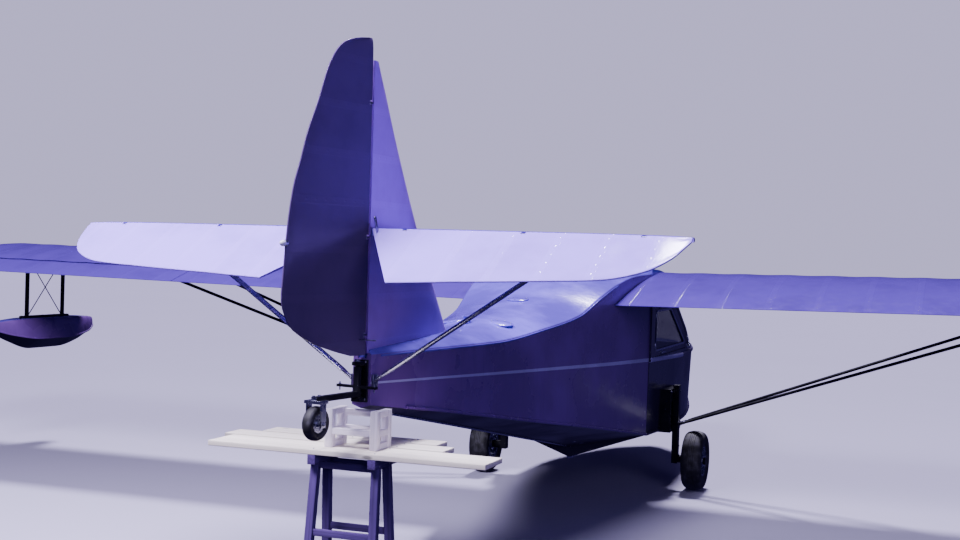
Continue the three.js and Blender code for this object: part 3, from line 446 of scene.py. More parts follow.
class Finish:
    """A material in the making, with the coordinates that its patterns read: the piece's place in the
    frame, or the place along and across its own stick or tube. Fixed values sit on the shader."""

    def __init__(self, name, roughness, own=False, **fixed):
        self.material = bpy.data.materials.new(name)
        self.material.use_nodes = True
        self.tree = self.material.node_tree
        self.tree.nodes.clear()
        values = {key.replace("_", " ").title().replace("Ior", "IOR"): value for key, value in fixed.items()}
        self.shader = add(self.tree, "BsdfPrincipled", {"Roughness": roughness, **values})
        add(self.tree, "OutputMaterial", {"Surface": self.shader.outputs[0]})
        if own:
            self.where = self.add("Attribute", attribute_name="local").outputs["Vector"]
        else:
            self.where = self.add("TexCoord").outputs["Object"]

    def add(self, kind, inputs=None, **settings):
        return add(self.tree, kind, inputs, **settings)

    def join(self, socket, name):
        self.tree.links.new(socket, self.shader.inputs[name])

    def cloud(self, size, low=0.35, high=0.65, stretch=(1, 1, 1), detail=4.0, distortion=0.0, most=1.0):
        """Soft blotches from nought to most. Size is a blotch's in millimetres, stretch draws it out."""
        scale = [1000 / (size * s) for s in stretch]
        at = self.add("Mapping", {"Vector": self.where, "Scale": scale}).outputs[0]
        noise = {"Vector": at, "Scale": 1.0, "Detail": detail, "Roughness": 0.55, "Distortion": distortion}
        value = self.add("TexNoise", noise).outputs[0]
        clipped = {"Value": value, "From Min": low, "From Max": high, "To Max": most}
        return self.add("MapRange", clipped, interpolation_type="SMOOTHSTEP").outputs[0]

    def lined(self, value, spacing, width, blur, most=1.0):
        """Lines across a coordinate: one on each multiple of spacing, nought between. All in metres."""
        far = self.add("Math", {0: value, 1: spacing / 2}, operation="PINGPONG").outputs[0]
        edge = {"Value": far, "From Min": (width + blur) / 2, "From Max": (width - blur) / 2, "To Max": most}
        return self.add("MapRange", edge, interpolation_type="SMOOTHSTEP").outputs[0]

    def painted(self, base, layers):
        """Base colour: each layer is a mask and the colour that it lets in over what lies below."""
        for mask, over in layers:
            mixed = {MIX_FACTOR: mask, MIX_A: base, MIX_B: over}
            base = self.add("Mix", mixed, data_type="RGBA").outputs[MIX_RESULT]
        self.join(base, "Base Color")

    def dulled(self, mask, low, high):
        """Roughness from low to high, as the mask goes from nought to one."""
        rough = self.add("MapRange", {"Value": mask, "To Min": low, "To Max": high}).outputs[0]
        self.join(rough, "Roughness")

    def raised(self, heights):
        """Bumps one after the other. Each is a mask and the height in millimetres that it stands out."""
        normal = None
        for mask, height in heights:
            inputs = {"Height": mask, "Distance": height / 1000, "Strength": 1.0}
            if normal:
                inputs["Normal"] = normal
            normal = self.add("Bump", inputs).outputs[0]
        self.join(normal, "Normal")


def enamel(name, colour, rough=(0.24, 0.42), coat=0.3, gloss=0.5, dark=0.9):
    """Brushed alkyd enamel on sheathed plywood: glossy, with orange peel, faint brush marks along the
    hull, chalky patches where the sun fell, and run-off streaks. Dark sets how deep the enamel goes
    between the chalky patches; on the deck it is deep, and there the patches are painted dappled shade
    and reflections."""
    paint = Finish(name, rough[0], coat_weight=coat, coat_roughness=0.14, specular_ior_level=gloss)
    chalk_and_dappled_shade = paint.cloud(420, 0.38, 0.7, detail=5)
    streak = paint.cloud(34, 0.5, 0.78, stretch=(1, 1, 14), most=0.22)
    # between the patches the enamel goes down to dark; on the deck this is painted dappled shade
    paint.painted(shade(colour, dark), [(chalk_and_dappled_shade, shade(colour, 1.22)), (streak, shade(colour, 0.62))])
    paint.dulled(chalk_and_dappled_shade, *rough)
    brushed = paint.cloud(2.4, 0.2, 0.8, stretch=(1, 60, 1), detail=2)
    paint.raised([(paint.cloud(260), 1.2), (paint.cloud(9, 0.3, 0.7), 0.05), (brushed, 0.03)])
    return paint.material


def doped(name, colour, side, size, start):
    """Doped cotton over ribs: satin, its weave drawn at 5 mm so that it shows, with pinked tapes and
    lacing knots over the ribs. The ribs follow each other along side, from start on."""
    spacing, tape = size
    cloth = Finish(name, 0.3, ior=1.47, specular_ior_level=0.1)
    parts = cloth.add("SeparateXYZ", {0: cloth.where}).outputs
    run = cloth.add("Math", {0: parts[side], 1: start}, operation="SUBTRACT").outputs[0]
    pinking = cloth.add("Math", {0: parts["Y"], 1: 0.004}, operation="PINGPONG").outputs[0]
    toothed = cloth.add("Math", {0: run, 1: pinking}, operation="ADD").outputs[0]
    over = cloth.lined(toothed, spacing, tape, 0.003)
    middle, knots = cloth.lined(run, spacing, 0.007, 0.004), cloth.lined(parts["Y"], 0.07, 0.012, 0.006)
    laced = cloth.add("Math", {0: middle, 1: knots}, operation="MULTIPLY").outputs[0]
    pale = cloth.lined(toothed, spacing, tape, 0.003, most=0.3)
    faint = cloth.cloud(60, 0.3, 0.75, detail=5)
    dirt = cloth.cloud(300, 0.42, 0.75, detail=6)
    cloth.painted(shade(colour), [(dirt, shade(colour, 0.84)), (pale, shade(colour, 1.12))])
    cloth.dulled(faint, 0.10, 0.18)
    threads = [cloth.lined(parts[axis], 0.005, 0.0025, 0.0025) for axis in (side, "Y")]
    weave = cloth.add("Math", dict(enumerate(threads)), operation="ADD").outputs[0]
    cloth.raised([(weave, 0.05), (over, 0.4), (laced, 0.6), (faint, 0.25)])
    return cloth.material


def alloy(name, colour):
    """Bare aluminium alloy drawn into tube and sheet: fine marks along its run, dull oxide spots."""
    metal = Finish(name, 0.26, own=True, metallic=1.0)
    drawn = metal.cloud(1.6, 0.25, 0.75, stretch=(1, 1, 70), detail=3)
    oxide = metal.cloud(38, 0.5, 0.72, detail=6)
    metal.painted(shade(colour), [(oxide, shade(colour, 0.8))])
    metal.dulled(oxide, 0.26, 0.42)
    metal.raised([(drawn, 0.006), (oxide, 0.01)])
    return metal.material


def coated_steel(name, colour):
    """Air-drying enamel on welded steel tube: dark, half gloss, chipped to bare metal here and there."""
    steel = Finish(name, 0.42, ior=1.5, specular_ior_level=0.25)
    chips = steel.cloud(14, 0.69, 0.71, detail=7)
    dust = steel.cloud(120, 0.4, 0.8, detail=5)
    steel.painted(shade(colour), [(dust, shade(colour, 2.0)), (chips, (0.3, 0.28, 0.33, 1))])
    steel.join(chips, "Metallic")
    steel.dulled(dust, 0.34, 0.56)
    steel.raised([(steel.cloud(5), 0.06), (chips, -0.15)])
    return steel.material


def zinc(name, colour):
    """Zinc plated steel: pale grey with the flakes of its plating, slightly dulled."""
    plate = Finish(name, 0.36, metallic=1.0)
    flakes = plate.add("TexVoronoi", {"Vector": plate.where, "Scale": 260.0}).outputs["Color"]
    grey = plate.add("SeparateColor", {0: flakes}).outputs[0]
    plate.painted(shade(colour, 0.8), [(grey, shade(colour, 1.15))])
    plate.raised([(plate.cloud(8), 0.05)])
    return plate.material


def rubber(name, colour):
    """Moulded black rubber, gone grey with dust and with fine cracks in its sides."""
    tyre = Finish(name, 0.72, own=True, ior=1.52)
    dust = tyre.cloud(45, 0.4, 0.75, detail=6)
    tyre.painted(shade(colour), [(dust, (0.07, 0.066, 0.085, 1))])
    tyre.dulled(dust, 0.6, 0.85)
    tyre.raised([(tyre.cloud(5, 0.3, 0.7, detail=7), 0.15)])
    return tyre.material


def acrylic(name, colour):
    """Acrylic sheet, glossy and bluish, its dark tint and half clear alpha a painted shade of the dim cabin
    behind it, with wiping marks and a little haze.
    """
    sheet = Finish(name, 0.06, ior=1.49, alpha=0.55, coat_weight=0.4, coat_roughness=0.05)
    haze = sheet.cloud(160, 0.45, 0.8, stretch=(1, 3, 1), detail=6)
    sheet.painted(shade(colour, 0.9), [(haze, shade(colour, 1.25))])
    sheet.dulled(haze, 0.06, 0.22)
    return sheet.material


def vinyl(name, colour):
    """Embossed vinyl on cotton: a leather grain of 4 mm cells, worn paler where people sit."""
    skin = Finish(name, 0.5, ior=1.5, sheen_weight=0.1)
    cells = {"Vector": skin.where, "Scale": 240.0, "Randomness": 0.9}
    grain = skin.add("TexVoronoi", cells, feature="DISTANCE_TO_EDGE").outputs["Distance"]
    skin.painted(shade(colour, 0.85), [(skin.cloud(180, 0.4, 0.72), shade(colour, 1.5))])
    skin.raised([(grain, 0.35), (skin.cloud(50), 0.6)])
    return skin.material


def wrinkle(name, colour):
    """Wrinkle finish lacquer on sheet alloy: matt black with a fine crumpled skin."""
    lacquer = Finish(name, 0.6, ior=1.5)
    lacquer.painted(shade(colour, 0.9), [(lacquer.cloud(90), shade(colour, 1.5))])
    lacquer.raised([(lacquer.cloud(3, 0.42, 0.6, detail=3, distortion=1.5), 0.25)])
    return lacquer.material


def softwood(name, colour, dark, grain, rough, crack):
    """Sawn softwood: year rings cut lengthwise, fibres, a few knots. The pattern follows each stick's
    own length. Dark is how deep the late wood is, grain the ring spacing in millimetres."""
    wood = Finish(name, rough, own=True, ior=1.45)
    bend = wood.cloud(70, 0.2, 0.8, stretch=(1, 1, 9), detail=2, most=0.4)
    rings = wood.cloud(grain, 0.4, 0.62, stretch=(1, 1, 55), detail=3, distortion=0.6)
    fibre = wood.cloud(1.6, 0.3, 0.7, stretch=(1, 1, 60), detail=3)
    spots = wood.add("Mapping", {"Vector": wood.where, "Scale": (9, 9, 3.2)}).outputs[0]
    near = wood.add("TexVoronoi", {"Vector": spots, "Scale": 1.0}).outputs["Distance"]
    knot = wood.add("MapRange", {"Value": near, "From Min": 0.1, "From Max": 0.05}).outputs[0]
    shades = [(rings, dark), (bend, 0.85), (knot, 0.35)]
    wood.painted(shade(colour, 1.04), [(mask, shade(colour, factor)) for mask, factor in shades])
    wood.raised([(fibre, crack), (rings, 0.3 * crack)])
    return wood.material


def lens(name, colour, glow=0.5):
    """Pressed glass of a lamp: ribbed, slightly cloudy, its colour deep where it is thick."""
    glass = Finish(name, 0.12, own=True, ior=1.5, coat_weight=0.6, coat_roughness=0.04)
    ribs = glass.cloud(3, 0.4, 0.6, stretch=(1, 6, 6))
    glass.painted(shade(colour), [(ribs, shade(colour, glow))])
    glass.raised([(ribs, 0.3)])
    return glass.material


def studio_paint(name, colour):
    """Matt wall paint of a studio floor: nearly even, with the faintest mottle."""
    paint = Finish(name, 0.9, ior=1.4)
    paint.painted(shade(colour, 0.985), [(paint.cloud(2600), shade(colour))])
    return paint.material


def finishes():
    """Every material by the name it is asked for: its common name, the name of its slot, how it is made,
    its colour and the rest that its function asks for."""
    tint, sizes = bpy.context.scene.boat_colours, bpy.context.scene.boat_sizes
    wing = (sizes.rib_spacing, sizes.tape)
    tail = (sizes.tail_rib_spacing, 0.8 * sizes.tape)
    paint, pale, cloth, bare = "hull_paint", "light_paint", "doped_fabric", "bare_alloy"
    wood, clear, gloss, satin = "pale_wood", "clear_sheet", (0.24, 0.42), (0.1, 0.2)
    return {
        "hull": ("indigo alkyd enamel on sheathed plywood", paint, enamel, tint.hull, gloss, 0.15, 0.35),
        # the cabin enamel is the hull's indigo darkened: painted shadow of the wing
        "cabin": ("dark indigo enamel on plywood", paint, enamel, tint.cabin, gloss, 0.3, 0.4),
        "bottom": ("dark bottom enamel on sheathed plywood", paint, enamel, tint.bottom, (0.34, 0.6), 0.15),
        # on the deck the chalky patches run deep (dark 0.7): painted dappled shade and reflections
        "deck": ("pale alkyd enamel on plywood", pale, enamel, tint.deck, satin, 0.0, 0.35, 0.7),
        "stripe": ("pale stripe enamel", pale, enamel, tint.stripe, (0.3, 0.5), 0.2),
        "lining": ("painted plywood lining", paint, enamel, tint.lining, (0.4, 0.6), 0.0),
        # the wing cloth is darkened into a painted shadow over the wings and ailerons
        "wing_fabric": ("doped cotton on wing ribs", cloth, doped, tint.wing, "X", wing, WING_ROOT),
        "tail_fabric": ("doped cotton on tail ribs", cloth, doped, tint.fabric, "X", tail, TAIL_RIB_START),
        # the fin cloth is a separate tint that paints in the grazing light on its side
        "fin_fabric_painted_grazing_light": ("violet doped cotton", cloth, doped, tint.fin, "Z", tail, FIN_RIB_START),
        # the rudder cloth is darkened into painted shade
        "rudder_fabric": ("indigo doped cotton", cloth, doped, tint.rudder, "Z", tail, FIN_RIB_START),
        "alloy": ("drawn aluminium alloy", bare, alloy, tint.metal),
        "steel": ("enamelled steel tube", "dark_steel", coated_steel, tint.steel),
        "zinc": ("zinc plated steel", bare, zinc, tint.zinc),
        "rubber": ("moulded black rubber", "tyre_rubber", rubber, tint.rubber),
        # the acrylic's dark tint is painted shade of the cabin behind the panes
        "acrylic": ("tinted acrylic sheet", clear, acrylic, tint.acrylic),
        "vinyl": ("embossed vinyl", "seat_cover", vinyl, tint.vinyl),
        "wrinkle": ("black wrinkle lacquer", "panel_black", wrinkle, tint.panel),
        "old_wood": ("weathered softwood", "weathered_wood", softwood, tint.old_wood, 0.62, 14, 0.85, 0.5),
        "new_wood": ("sawn softwood", wood, softwood, tint.new_wood, 0.8, 18, 0.7, 0.25),
        "board_wood": ("fresh planed softwood", wood, softwood, tint.board_wood, 0.88, 22, 0.65, 0.2),
        "clear_lens": ("pressed clear glass", clear, lens, linear("#E9E6FF"), 0.8),
        "red_lens": ("pressed red glass", clear, lens, linear("#B3122B")),
        "green_lens": ("pressed green glass", clear, lens, linear("#0E8F5B")),
        "floor": ("matt studio paint", None, studio_paint, linear("#A9A5BC")),
    }


def finish(name):
    """The material asked for, made the first time."""
    real, _, make, *settings = finishes()[name]
    return bpy.data.materials.get(real) or make(real, *settings)


def set_up(mesh, name, names, replaces, slot, body, wall=None, bevel=None):
    """Makes the object of a mesh in the named finishes, rides it on its body and hides the solids of the
    frame that it stands for. A wall gives an open skin its thickness, inwards where it is below nought,
    and a bevel rounds the edges by its width. The slot is not used."""
    names = [names] if isinstance(names, str) else names
    thing = bpy.data.objects.new(name, mesh)
    bpy.context.scene.collection.objects.link(thing)
    for each in names:
        mesh.materials.append(finish(each))
    if wall:
        shell = thing.modifiers.new("wall", "SOLIDIFY")
        shell.thickness = abs(wall)
        shell.offset = -1 if wall < 0 else 1
        shell.use_even_offset = True
    if bevel:
        round_edge = thing.modifiers.new("round edge", "BEVEL")
        round_edge.width, round_edge.segments = bevel, 2
        round_edge.angle_limit = BEVEL_FROM
    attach(thing, body)
    slot or finishes()[names[0]][1]
    if replaces:
        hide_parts(replaces)
    return thing


def made(skin, name, names, replaces=None, slot=None, body="airframe", side=1, **rest):
    """Makes the piece of a skin, turned over to port where side is below nought."""
    if side < 0:
        skin.points = [points * PORT for points in skin.points]
    return set_up(skin.mesh(name), name, names, replaces, slot, body, **rest)


def pair(skin, name, names, replaces=None, body=None, **rest):
    """Makes the starboard piece of a skin and its mirror image to port, each for the solid and on the
    body of its own side."""
    for side, hand in SIDES:
        node = replaces and f"{replaces}_{hand}"
        on = f"{body}_{hand}_body" if body else "airframe"
        made(skin, f"{name}_{hand}", names, node, body=on, side=side, **rest)


def closed(rings):
    """A skin through rings, each joined up, with the first and the last one shut."""
    skin = Skin()
    skin.grid(rings, wrap=True, ends=True)
    return skin


# Hull. Columns: station, keel z, chine half breadth, chine z, deck half breadth, deck z, crown z.
AFTERBODY = [
    (0.0, 0.985, 0.048, 1.002, 0.046, 1.247, 1.262),
    (0.6, 0.876, 0.150, 0.916, 0.142, 1.247, 1.280),
    (1.2, 0.767, 0.256, 0.824, 0.246, 1.250, 1.310),
    (1.8, 0.657, 0.352, 0.731, 0.340, 1.298, 1.372),
    (2.27, 0.572, 0.425, 0.661, 0.412, 1.357, 1.432),
    (2.63, 0.506, 0.477, 0.605, 0.466, 1.472, 1.528),
    (2.88, 0.461, 0.508, 0.566, 0.500, 1.542, 1.588),
    (3.25, 0.394, 0.540, 0.508, 0.540, 1.597, 1.628),
    (STEP_STATION, 0.330, 0.565, 0.452, 0.575, 1.612, 1.643),
]
FOREBODY = [
    (STEP_STATION, 0.250, 0.565, 0.452, 0.575, SILL_Z, SILL_Z),
    (4.4, 0.250, 0.580, 0.430, 0.590, SILL_Z, SILL_Z),
    (4.9, 0.256, 0.572, 0.438, 0.586, SILL_Z, SILL_Z),
    (CABIN_END, 0.272, 0.545, 0.462, 0.565, SILL_Z, SILL_Z),
    (5.7, 0.335, 0.440, 0.535, 0.472, 0.972, 1.002),
    (6.1, 0.430, 0.335, 0.620, 0.385, 0.958, 0.994),
    (6.4, 0.560, 0.210, 0.705, 0.262, 0.944, 0.972),
    (6.6, 0.705, 0.095, 0.795, 0.142, 0.930, 0.946),
    (BOW_STATION, 0.850, 0.020, 0.870, 0.042, 0.918, 0.926),
]
KEEL, CHINE, CHINE_Z, DECK, DECK_Z, CROWN = range(6)
DECK_EDGE = 0.012  # radius between side and deck
RAIL_UP = 0.008  # height of the chine rail's middle over the chine
BOW_ROUND = 0.03  # length over which the bow closes
# The rudder's nose has room here: depth, and the heights, stations and laterals where it begins.
NOTCH = {"deep": 0.036, "above": 1.24, "ahead": (0.0195, 0.03), "beside": (0.021, 0.028)}
FLANGE = 0.03  # width of the sill round the open cabin
HULL_SKIN = 0.012
STRIPE = {"start": 0.05, "start_z": 1.105, "end": 4.74, "end_z": 0.957}


def stripe_z(station):
    """Middle of the stripe: a straight line from its start to its end."""
    t = (station - STRIPE["start"]) / (STRIPE["end"] - STRIPE["start"])
    return blend_between(STRIPE["start_z"], STRIPE["end_z"], t)


def hull_half(stations, rows, sizes=None, flange=False):
    """Half of the hull sections, from keel to crown, and the paint of each column.

    The bottom is straight from keel to chine and the side straight from chine to deck edge. Two points
    of the side lie on the edges of the stripe. A quarter round leads to the deck, which is a parabola
    across, or to a flat sill where the hull is open.
    """
    keel, chine, chine_z, deck, deck_z, crown = (c[:, None] for c in smooth(rows, stations).T)
    t = np.linspace(0, 1, 7)
    if sizes is None:
        low = high = blend_between(chine_z, deck_z, 0.6)
    else:
        part = np.clip((stations - STRIPE["start"]) / STEP_STATION, 0, 1)[:, None]
        width = blend_between(sizes.stripe_aft, sizes.stripe_fore, part)
        middle = stripe_z(stations)[:, None]
        low, high = middle - width / 2, middle + width / 2
    upper = high + (deck_z - DECK_EDGE - high) * np.linspace(0, 1, 8)
    side_z = np.hstack([chine_z + (low - chine_z) * t[1:], upper])
    side_x = chine + (deck - chine) * (side_z - chine_z) / (deck_z - chine_z)
    turn = np.linspace(0, pi / 2, 5)[1:]
    edge_x = deck - DECK_EDGE * (1 - np.cos(turn))
    edge_z = deck_z - DECK_EDGE * (1 - np.sin(turn))
    k = np.linspace(1, 0, 11)[1:]
    inner = deck - DECK_EDGE
    top_x = inner - FLANGE * (1 - k) if flange else inner * k
    top_z = deck_z + (crown - deck_z) * (1 - k * k)
    x = np.hstack([chine * t, side_x, edge_x, top_x])
    z = np.hstack([keel + (chine_z - keel) * t, side_z, edge_z, top_z])
    counts = [(6, 0), (6, 1), (1, 2), (8, 1), (len(k) + 3, 3)]
    paint = np.concatenate([np.full(count, number) for count, number in counts])
    return place(x, stations[:, None], z), paint


def both_halves(half, paint):
    """From the port crown over the keel to the starboard crown."""
    port = half[:, ::-1] * PORT
    return np.concatenate([port, half[:, 1:]], axis=1), np.concatenate([paint[::-1], paint])


def beside(rows, run, edge, out, up):
    """A line along the hull, off its chine or its deck edge: so far out and so far up from it."""
    row = smooth(rows, run)
    return place(row[:, edge] + out, run, row[:, edge + 1] + up)


def strake(skin, path, wide, proud, paint=0):
    """A half round moulding along a path on the starboard side: flat at its back, round in front."""
    turn = np.linspace(-pi / 2, pi / 2, 9)
    section = np.stack([proud * np.cos(turn), wide / 2 * np.sin(turn)], -1)
    back = np.array([[-proud, wide / 2], [-proud, -wide / 2]])
    sweep(skin, path, np.vstack([section, back]), (1, 0, 0), paint)


def build_keel_strip(name, rows, run, wide, deep, corner):
    """The metal strip that guards the keel."""
    skin = Skin()
    path = place(0, run, smooth(rows, run)[:, KEEL] - 0.001)
    sweep(skin, path, rounded(wide, deep, corner), (1, 0, 0))
    made(skin, name, "alloy")


def build_afterbody(sizes):
    """The closed afterbody, its deck notched for the rudder's nose, with its rails and keel strip."""
    near = np.linspace(0, 0.05, 11)
    stations = np.concatenate([near, [0.07, 0.1, 0.13], np.linspace(0.16, STEP_STATION, 84)])
    half, paint = hull_half(stations, AFTERBODY, sizes)
    notch = (1 - ease(*NOTCH["ahead"], stations))[:, None] * (1 - ease(*NOTCH["beside"], half[..., 0]))
    half[..., 2] -= NOTCH["deep"] * notch * (half[..., 2] > NOTCH["above"])
    skin = Skin()
    skin.grid(*both_halves(half, paint), ends=True, cap=1)
    made(skin, "afterbody_shell", ["bottom", "hull", "stripe", "deck"], "hull_afterbody")

    rails = Skin()
    run = np.linspace(0.3, STEP_STATION - 0.01, 60)
    strake(rails, beside(AFTERBODY, run, CHINE, 0.001, RAIL_UP), 0.02, 0.011)
    strake(rails, beside(AFTERBODY, np.linspace(0.08, 2.9, 50), DECK, 0, -0.016), 0.011, 0.004, 1)
    made(rails.mirror(), "afterbody_rails", ["hull", "deck"])
    build_keel_strip("afterbody_keel_strip", AFTERBODY, run, 0.03, 0.012, 0.004)


def deck_point(rows, station, part):
    """A point of the deck, part of its half breadth from the middle."""
    row = smooth(rows, station)
    rise = (row[CROWN] - row[DECK_Z]) * (1 - part * part)
    return place(part * row[DECK], station, row[DECK_Z] + rise)


# Covers on the deck. Columns: station, part of the half breadth. Side of one: radius, offset.
DECK_PLATES = [(1.55, 0.5), (1.55, -0.5), (2.3, 0.0)]
PLATE = [(0, -0.004), (0.072, -0.004), (0.072, 0.0015), (0.068, 0.004), (0, 0.0045)]
CLEATS = [(AFTERBODY, 1.395), (FOREBODY, 6.28)]
CLEAT = {"feet": 0.028, "horns": 0.075, "high": 0.032, "lift": 0.008}


def build_deck_fittings():
    """Inspection plates with their screws, and a mooring cleat fore and aft."""
    skin = Skin()
    for station, part in DECK_PLATES:
        centre = deck_point(AFTERBODY, station, part)
        out = unit([part * 0.28, -0.1, 1.0])
        lathe(skin, PLATE, centre, out, 36)
        helper = unit(np.cross(out, [0, 1, 0]))
        spots = ring_about(centre, helper, np.cross(out, helper), 8, 0.06) + 0.004 * out
        studs(skin, spots, out, 0.0042, 1)
    for rows, station in CLEATS:
        base = deck_point(rows, station, 0.0)
        for way in (-1, 1):
            foot = base + np.array([0, way * CLEAT["feet"], 0])
            tube(skin, [foot - [0, 0, 0.004], foot + [0, 0, 0.03]], 0.008, 12, (1, 0, 0))
        far = np.linspace(-1, 1, 13)[:, None]
        lift = CLEAT["high"] + CLEAT["lift"] * far**2
        tips = base + far * [0, CLEAT["horns"], 0] + lift * [0, 0, 1]
        tube(skin, tips, 0.0085 - 0.003 * far[:, 0] ** 2, 12, (1, 0, 0))
    made(skin, "deck_fittings", ["deck", "zinc"])


def build_forebody():
    """The planing forebody: a skin open over the cabin, closed by the step behind, decked in front and
    drawn in to a round bow."""
    skin = Skin()
    half, paint = hull_half(np.linspace(STEP_STATION, CABIN_END, 28), FOREBODY, flange=True)
    skin.grid(*both_halves(half, paint), ends=(0,), cap=0)
    nose = BOW_STATION - BOW_ROUND * (1 - np.sin(np.linspace(0, pi / 2, 9)))
    bow = np.concatenate([np.linspace(CABIN_END, nose[0] - 0.005, 46), nose])
    half, paint = hull_half(bow, FOREBODY)
    shrink = fading(bow - nose[0], BOW_ROUND + 0.0005)
    middle = half.mean(axis=1, keepdims=True) * np.array([0, 1, 1])
    half = middle + (half - middle) * np.stack([shrink, np.ones_like(bow), shrink], -1)[:, None]
    skin.grid(*both_halves(half, paint), ends=(-1,), cap=1)
    # the forebody's sides take the cabin enamel, with the wing's shadow painted in
    names = ["bottom", "cabin", "cabin", "deck"]
    made(skin, "forebody_shell", names, "hull_forebody", wall=-HULL_SKIN)

    rails = Skin()
    run = np.linspace(STEP_STATION + 0.004, 6.4, 60)
    strake(rails, beside(FOREBODY, run, CHINE, 0.002, RAIL_UP), 0.024, 0.015)
    aft = np.linspace(run[0], STRIPE["end"], 30)
    fore = np.linspace(STRIPE["end"] + 0.002, 6.6, 50)
    for part, paint in ((aft, 1), (fore, 0)):
        row = smooth(FOREBODY, part)
        sheer = blend_between(stripe_z(part), row[:, DECK_Z] - 0.014, ease(STRIPE["end"] - 0.2, 5.2, part))
        beam = np.maximum(row[:, DECK], np.where(part < 4.9, FRAME_HALF, 0)) + 0.001
        strake(rails, place(beam, part, sheer), 0.034, 0.009, paint)
    made(rails.mirror(), "forebody_rails", ["cabin", "stripe"])
    build_keel_strip("forebody_keel_strip", FOREBODY, run, 0.034, 0.014, 0.005)


# Inside of the cabin and foot space. Columns: station, half breadth, floor z, top z.
CABIN_SPACE = [
    (STEP_STATION + 0.06, 0.540, FLOOR_Z, 0.976),
    (4.4, 0.552, FLOOR_Z, 0.976),
    (4.9, 0.546, FLOOR_Z, 0.976),
    (5.18, 0.520, 0.468, 0.950),
    (5.7, 0.420, 0.545, 0.935),
]
LINING = {"end": 5.7, "corner": 0.05, "thick": 0.004}


def build_lining():
    """Floor and side panels as one tray: down the wall, round a corner and in along the floor."""
    stations = np.linspace(CABIN_SPACE[0][0], LINING["end"], 44)
    half, low, high = (c[:, None] for c in smooth(CABIN_SPACE, stations).T)
    corner = LINING["corner"]
    turn = np.linspace(0, pi / 2, 7)
    wall = np.linspace(0, 1, 8)[:-1]
    floor = np.linspace(1, 0, 8)[1:]
    x = np.hstack([half + 0 * wall, half - corner * (1 - np.cos(turn)), (half - corner) * floor])
    z = np.hstack([high + (low + corner - high) * wall, low + corner * (1 - np.sin(turn)), low + 0 * floor])
    points = place(x, stations[:, None], z)
    skin = Skin()
    skin.grid(np.concatenate([points, points[:, -2::-1] * PORT], axis=1), ends=True)
    made(skin, "cabin_lining", "lining", wall=LINING["thick"])


# Side view of the centre section. Columns: station, height.
ROOF_PROFILE = [
    (4.3, ROOF_Z),
    (4.345, 1.474),
    (4.36, 1.5),
    (4.345, 1.528),
    (4.28, 1.563),
    (4.15, 1.596),
    (3.95, 1.625),
    (3.78, 1.638),
    (STEP_STATION, 1.643),
]


def flowing(points, count):
    """A smooth curve through points: each coordinate is a cubic of the distance along their chords."""
    far = distances(points)
    return smooth(np.column_stack([far, points]), np.linspace(0, far[-1], count))


def build_roof():
    """The centre section: its side view carried across, with eased edges at the wing roots."""
    base = np.array([(STEP_STATION + 0.001, ROOF_Z + 0.003), (STEP_STATION + 0.004, ROOF_Z)])
    outline = np.vstack([base, flowing(ROOF_PROFILE, 60)])
    across = np.array([-1, -0.998, -0.9, 0, 0.9, 0.998, 1]) * WING_ROOT
    rings = place(across[:, None], outline[None, :, 0], outline[None, :, 1])
    made(closed(rings), "roof_skin", "deck", "wing_center_section")


# Wing. Columns: distance from the root, nose inset, tail inset.
WING_ROWS = [
    (-0.11, 0, 0),
    (4.5, 0, 0),
    (4.72, 0.018, 0.045),
    (4.86, 0.075, 0.160),
    (4.945, 0.190, 0.350),
    (WING_END, 0.420, 0.700),
]
ROOT_LAP = 0.11  # how far the wing reaches inboard behind the roof
CAMBER, CAMBER_AT, THICKNESS = 0.04, 0.4, 0.12
AILERON = {"from": 2.35, "to": 4.5, "chord": 0.305, "nose": 0.038, "hinges": (2.56, 3.425, 4.29)}
SEAM = 0.006
COVE_AT = 0.784  # part of the chord where the wing's skin ends over the aileron
SLOT = {"half": 0.011, "deep": 0.016}
TIP_ROUND = 0.3  # length of the tip over which the section thins


def camber(x):
    """Height of the middle line: two parabolas that meet at the highest point of the camber."""
    front = CAMBER / CAMBER_AT**2 * (2 * CAMBER_AT * x - x * x)
    rear = CAMBER / (1 - CAMBER_AT) ** 2 * (1 - 2 * CAMBER_AT + 2 * CAMBER_AT * x - x * x)
    return np.where(x < CAMBER_AT, front, rear)


HINGE_PART = 1 - AILERON["chord"] / CHORD  # part of the chord where the aileron's hinge line lies
HINGE_RISE = camber(HINGE_PART) * CHORD
PIN_HALF = 0.028  # half length of a hinge pin


def half_thickness(x):
    """The usual four digit thickness: a root of x and its first four powers, weighted."""
    power = 0.2969 * np.sqrt(x) - 0.126 * x - 0.3516 * x**2 + 0.2843 * x**3 - 0.1015 * x**4
    return 5 * THICKNESS * power


def wing_place(outboard, along, rise, tail=0.0):
    """Wing axes to the frame: tilted by the incidence about the trailing edge, then by the dihedral
    about the root. Along runs forward on the chord and rise square to it."""
    ahead = (along + tail) * np.cos(INCIDENCE) - rise * np.sin(INCIDENCE)
    up = (along + tail) * np.sin(INCIDENCE) + rise * np.cos(INCIDENCE)
    outboard, ahead, up = np.broadcast_arrays(outboard, ahead, up)
    x = WING_ROOT + outboard * np.cos(DIHEDRAL) - up * np.sin(DIHEDRAL)
    z = TRAILING_Z + up * np.cos(DIHEDRAL) + outboard * np.sin(DIHEDRAL)
    return place(x, TRAILING_STATION + ahead, z)


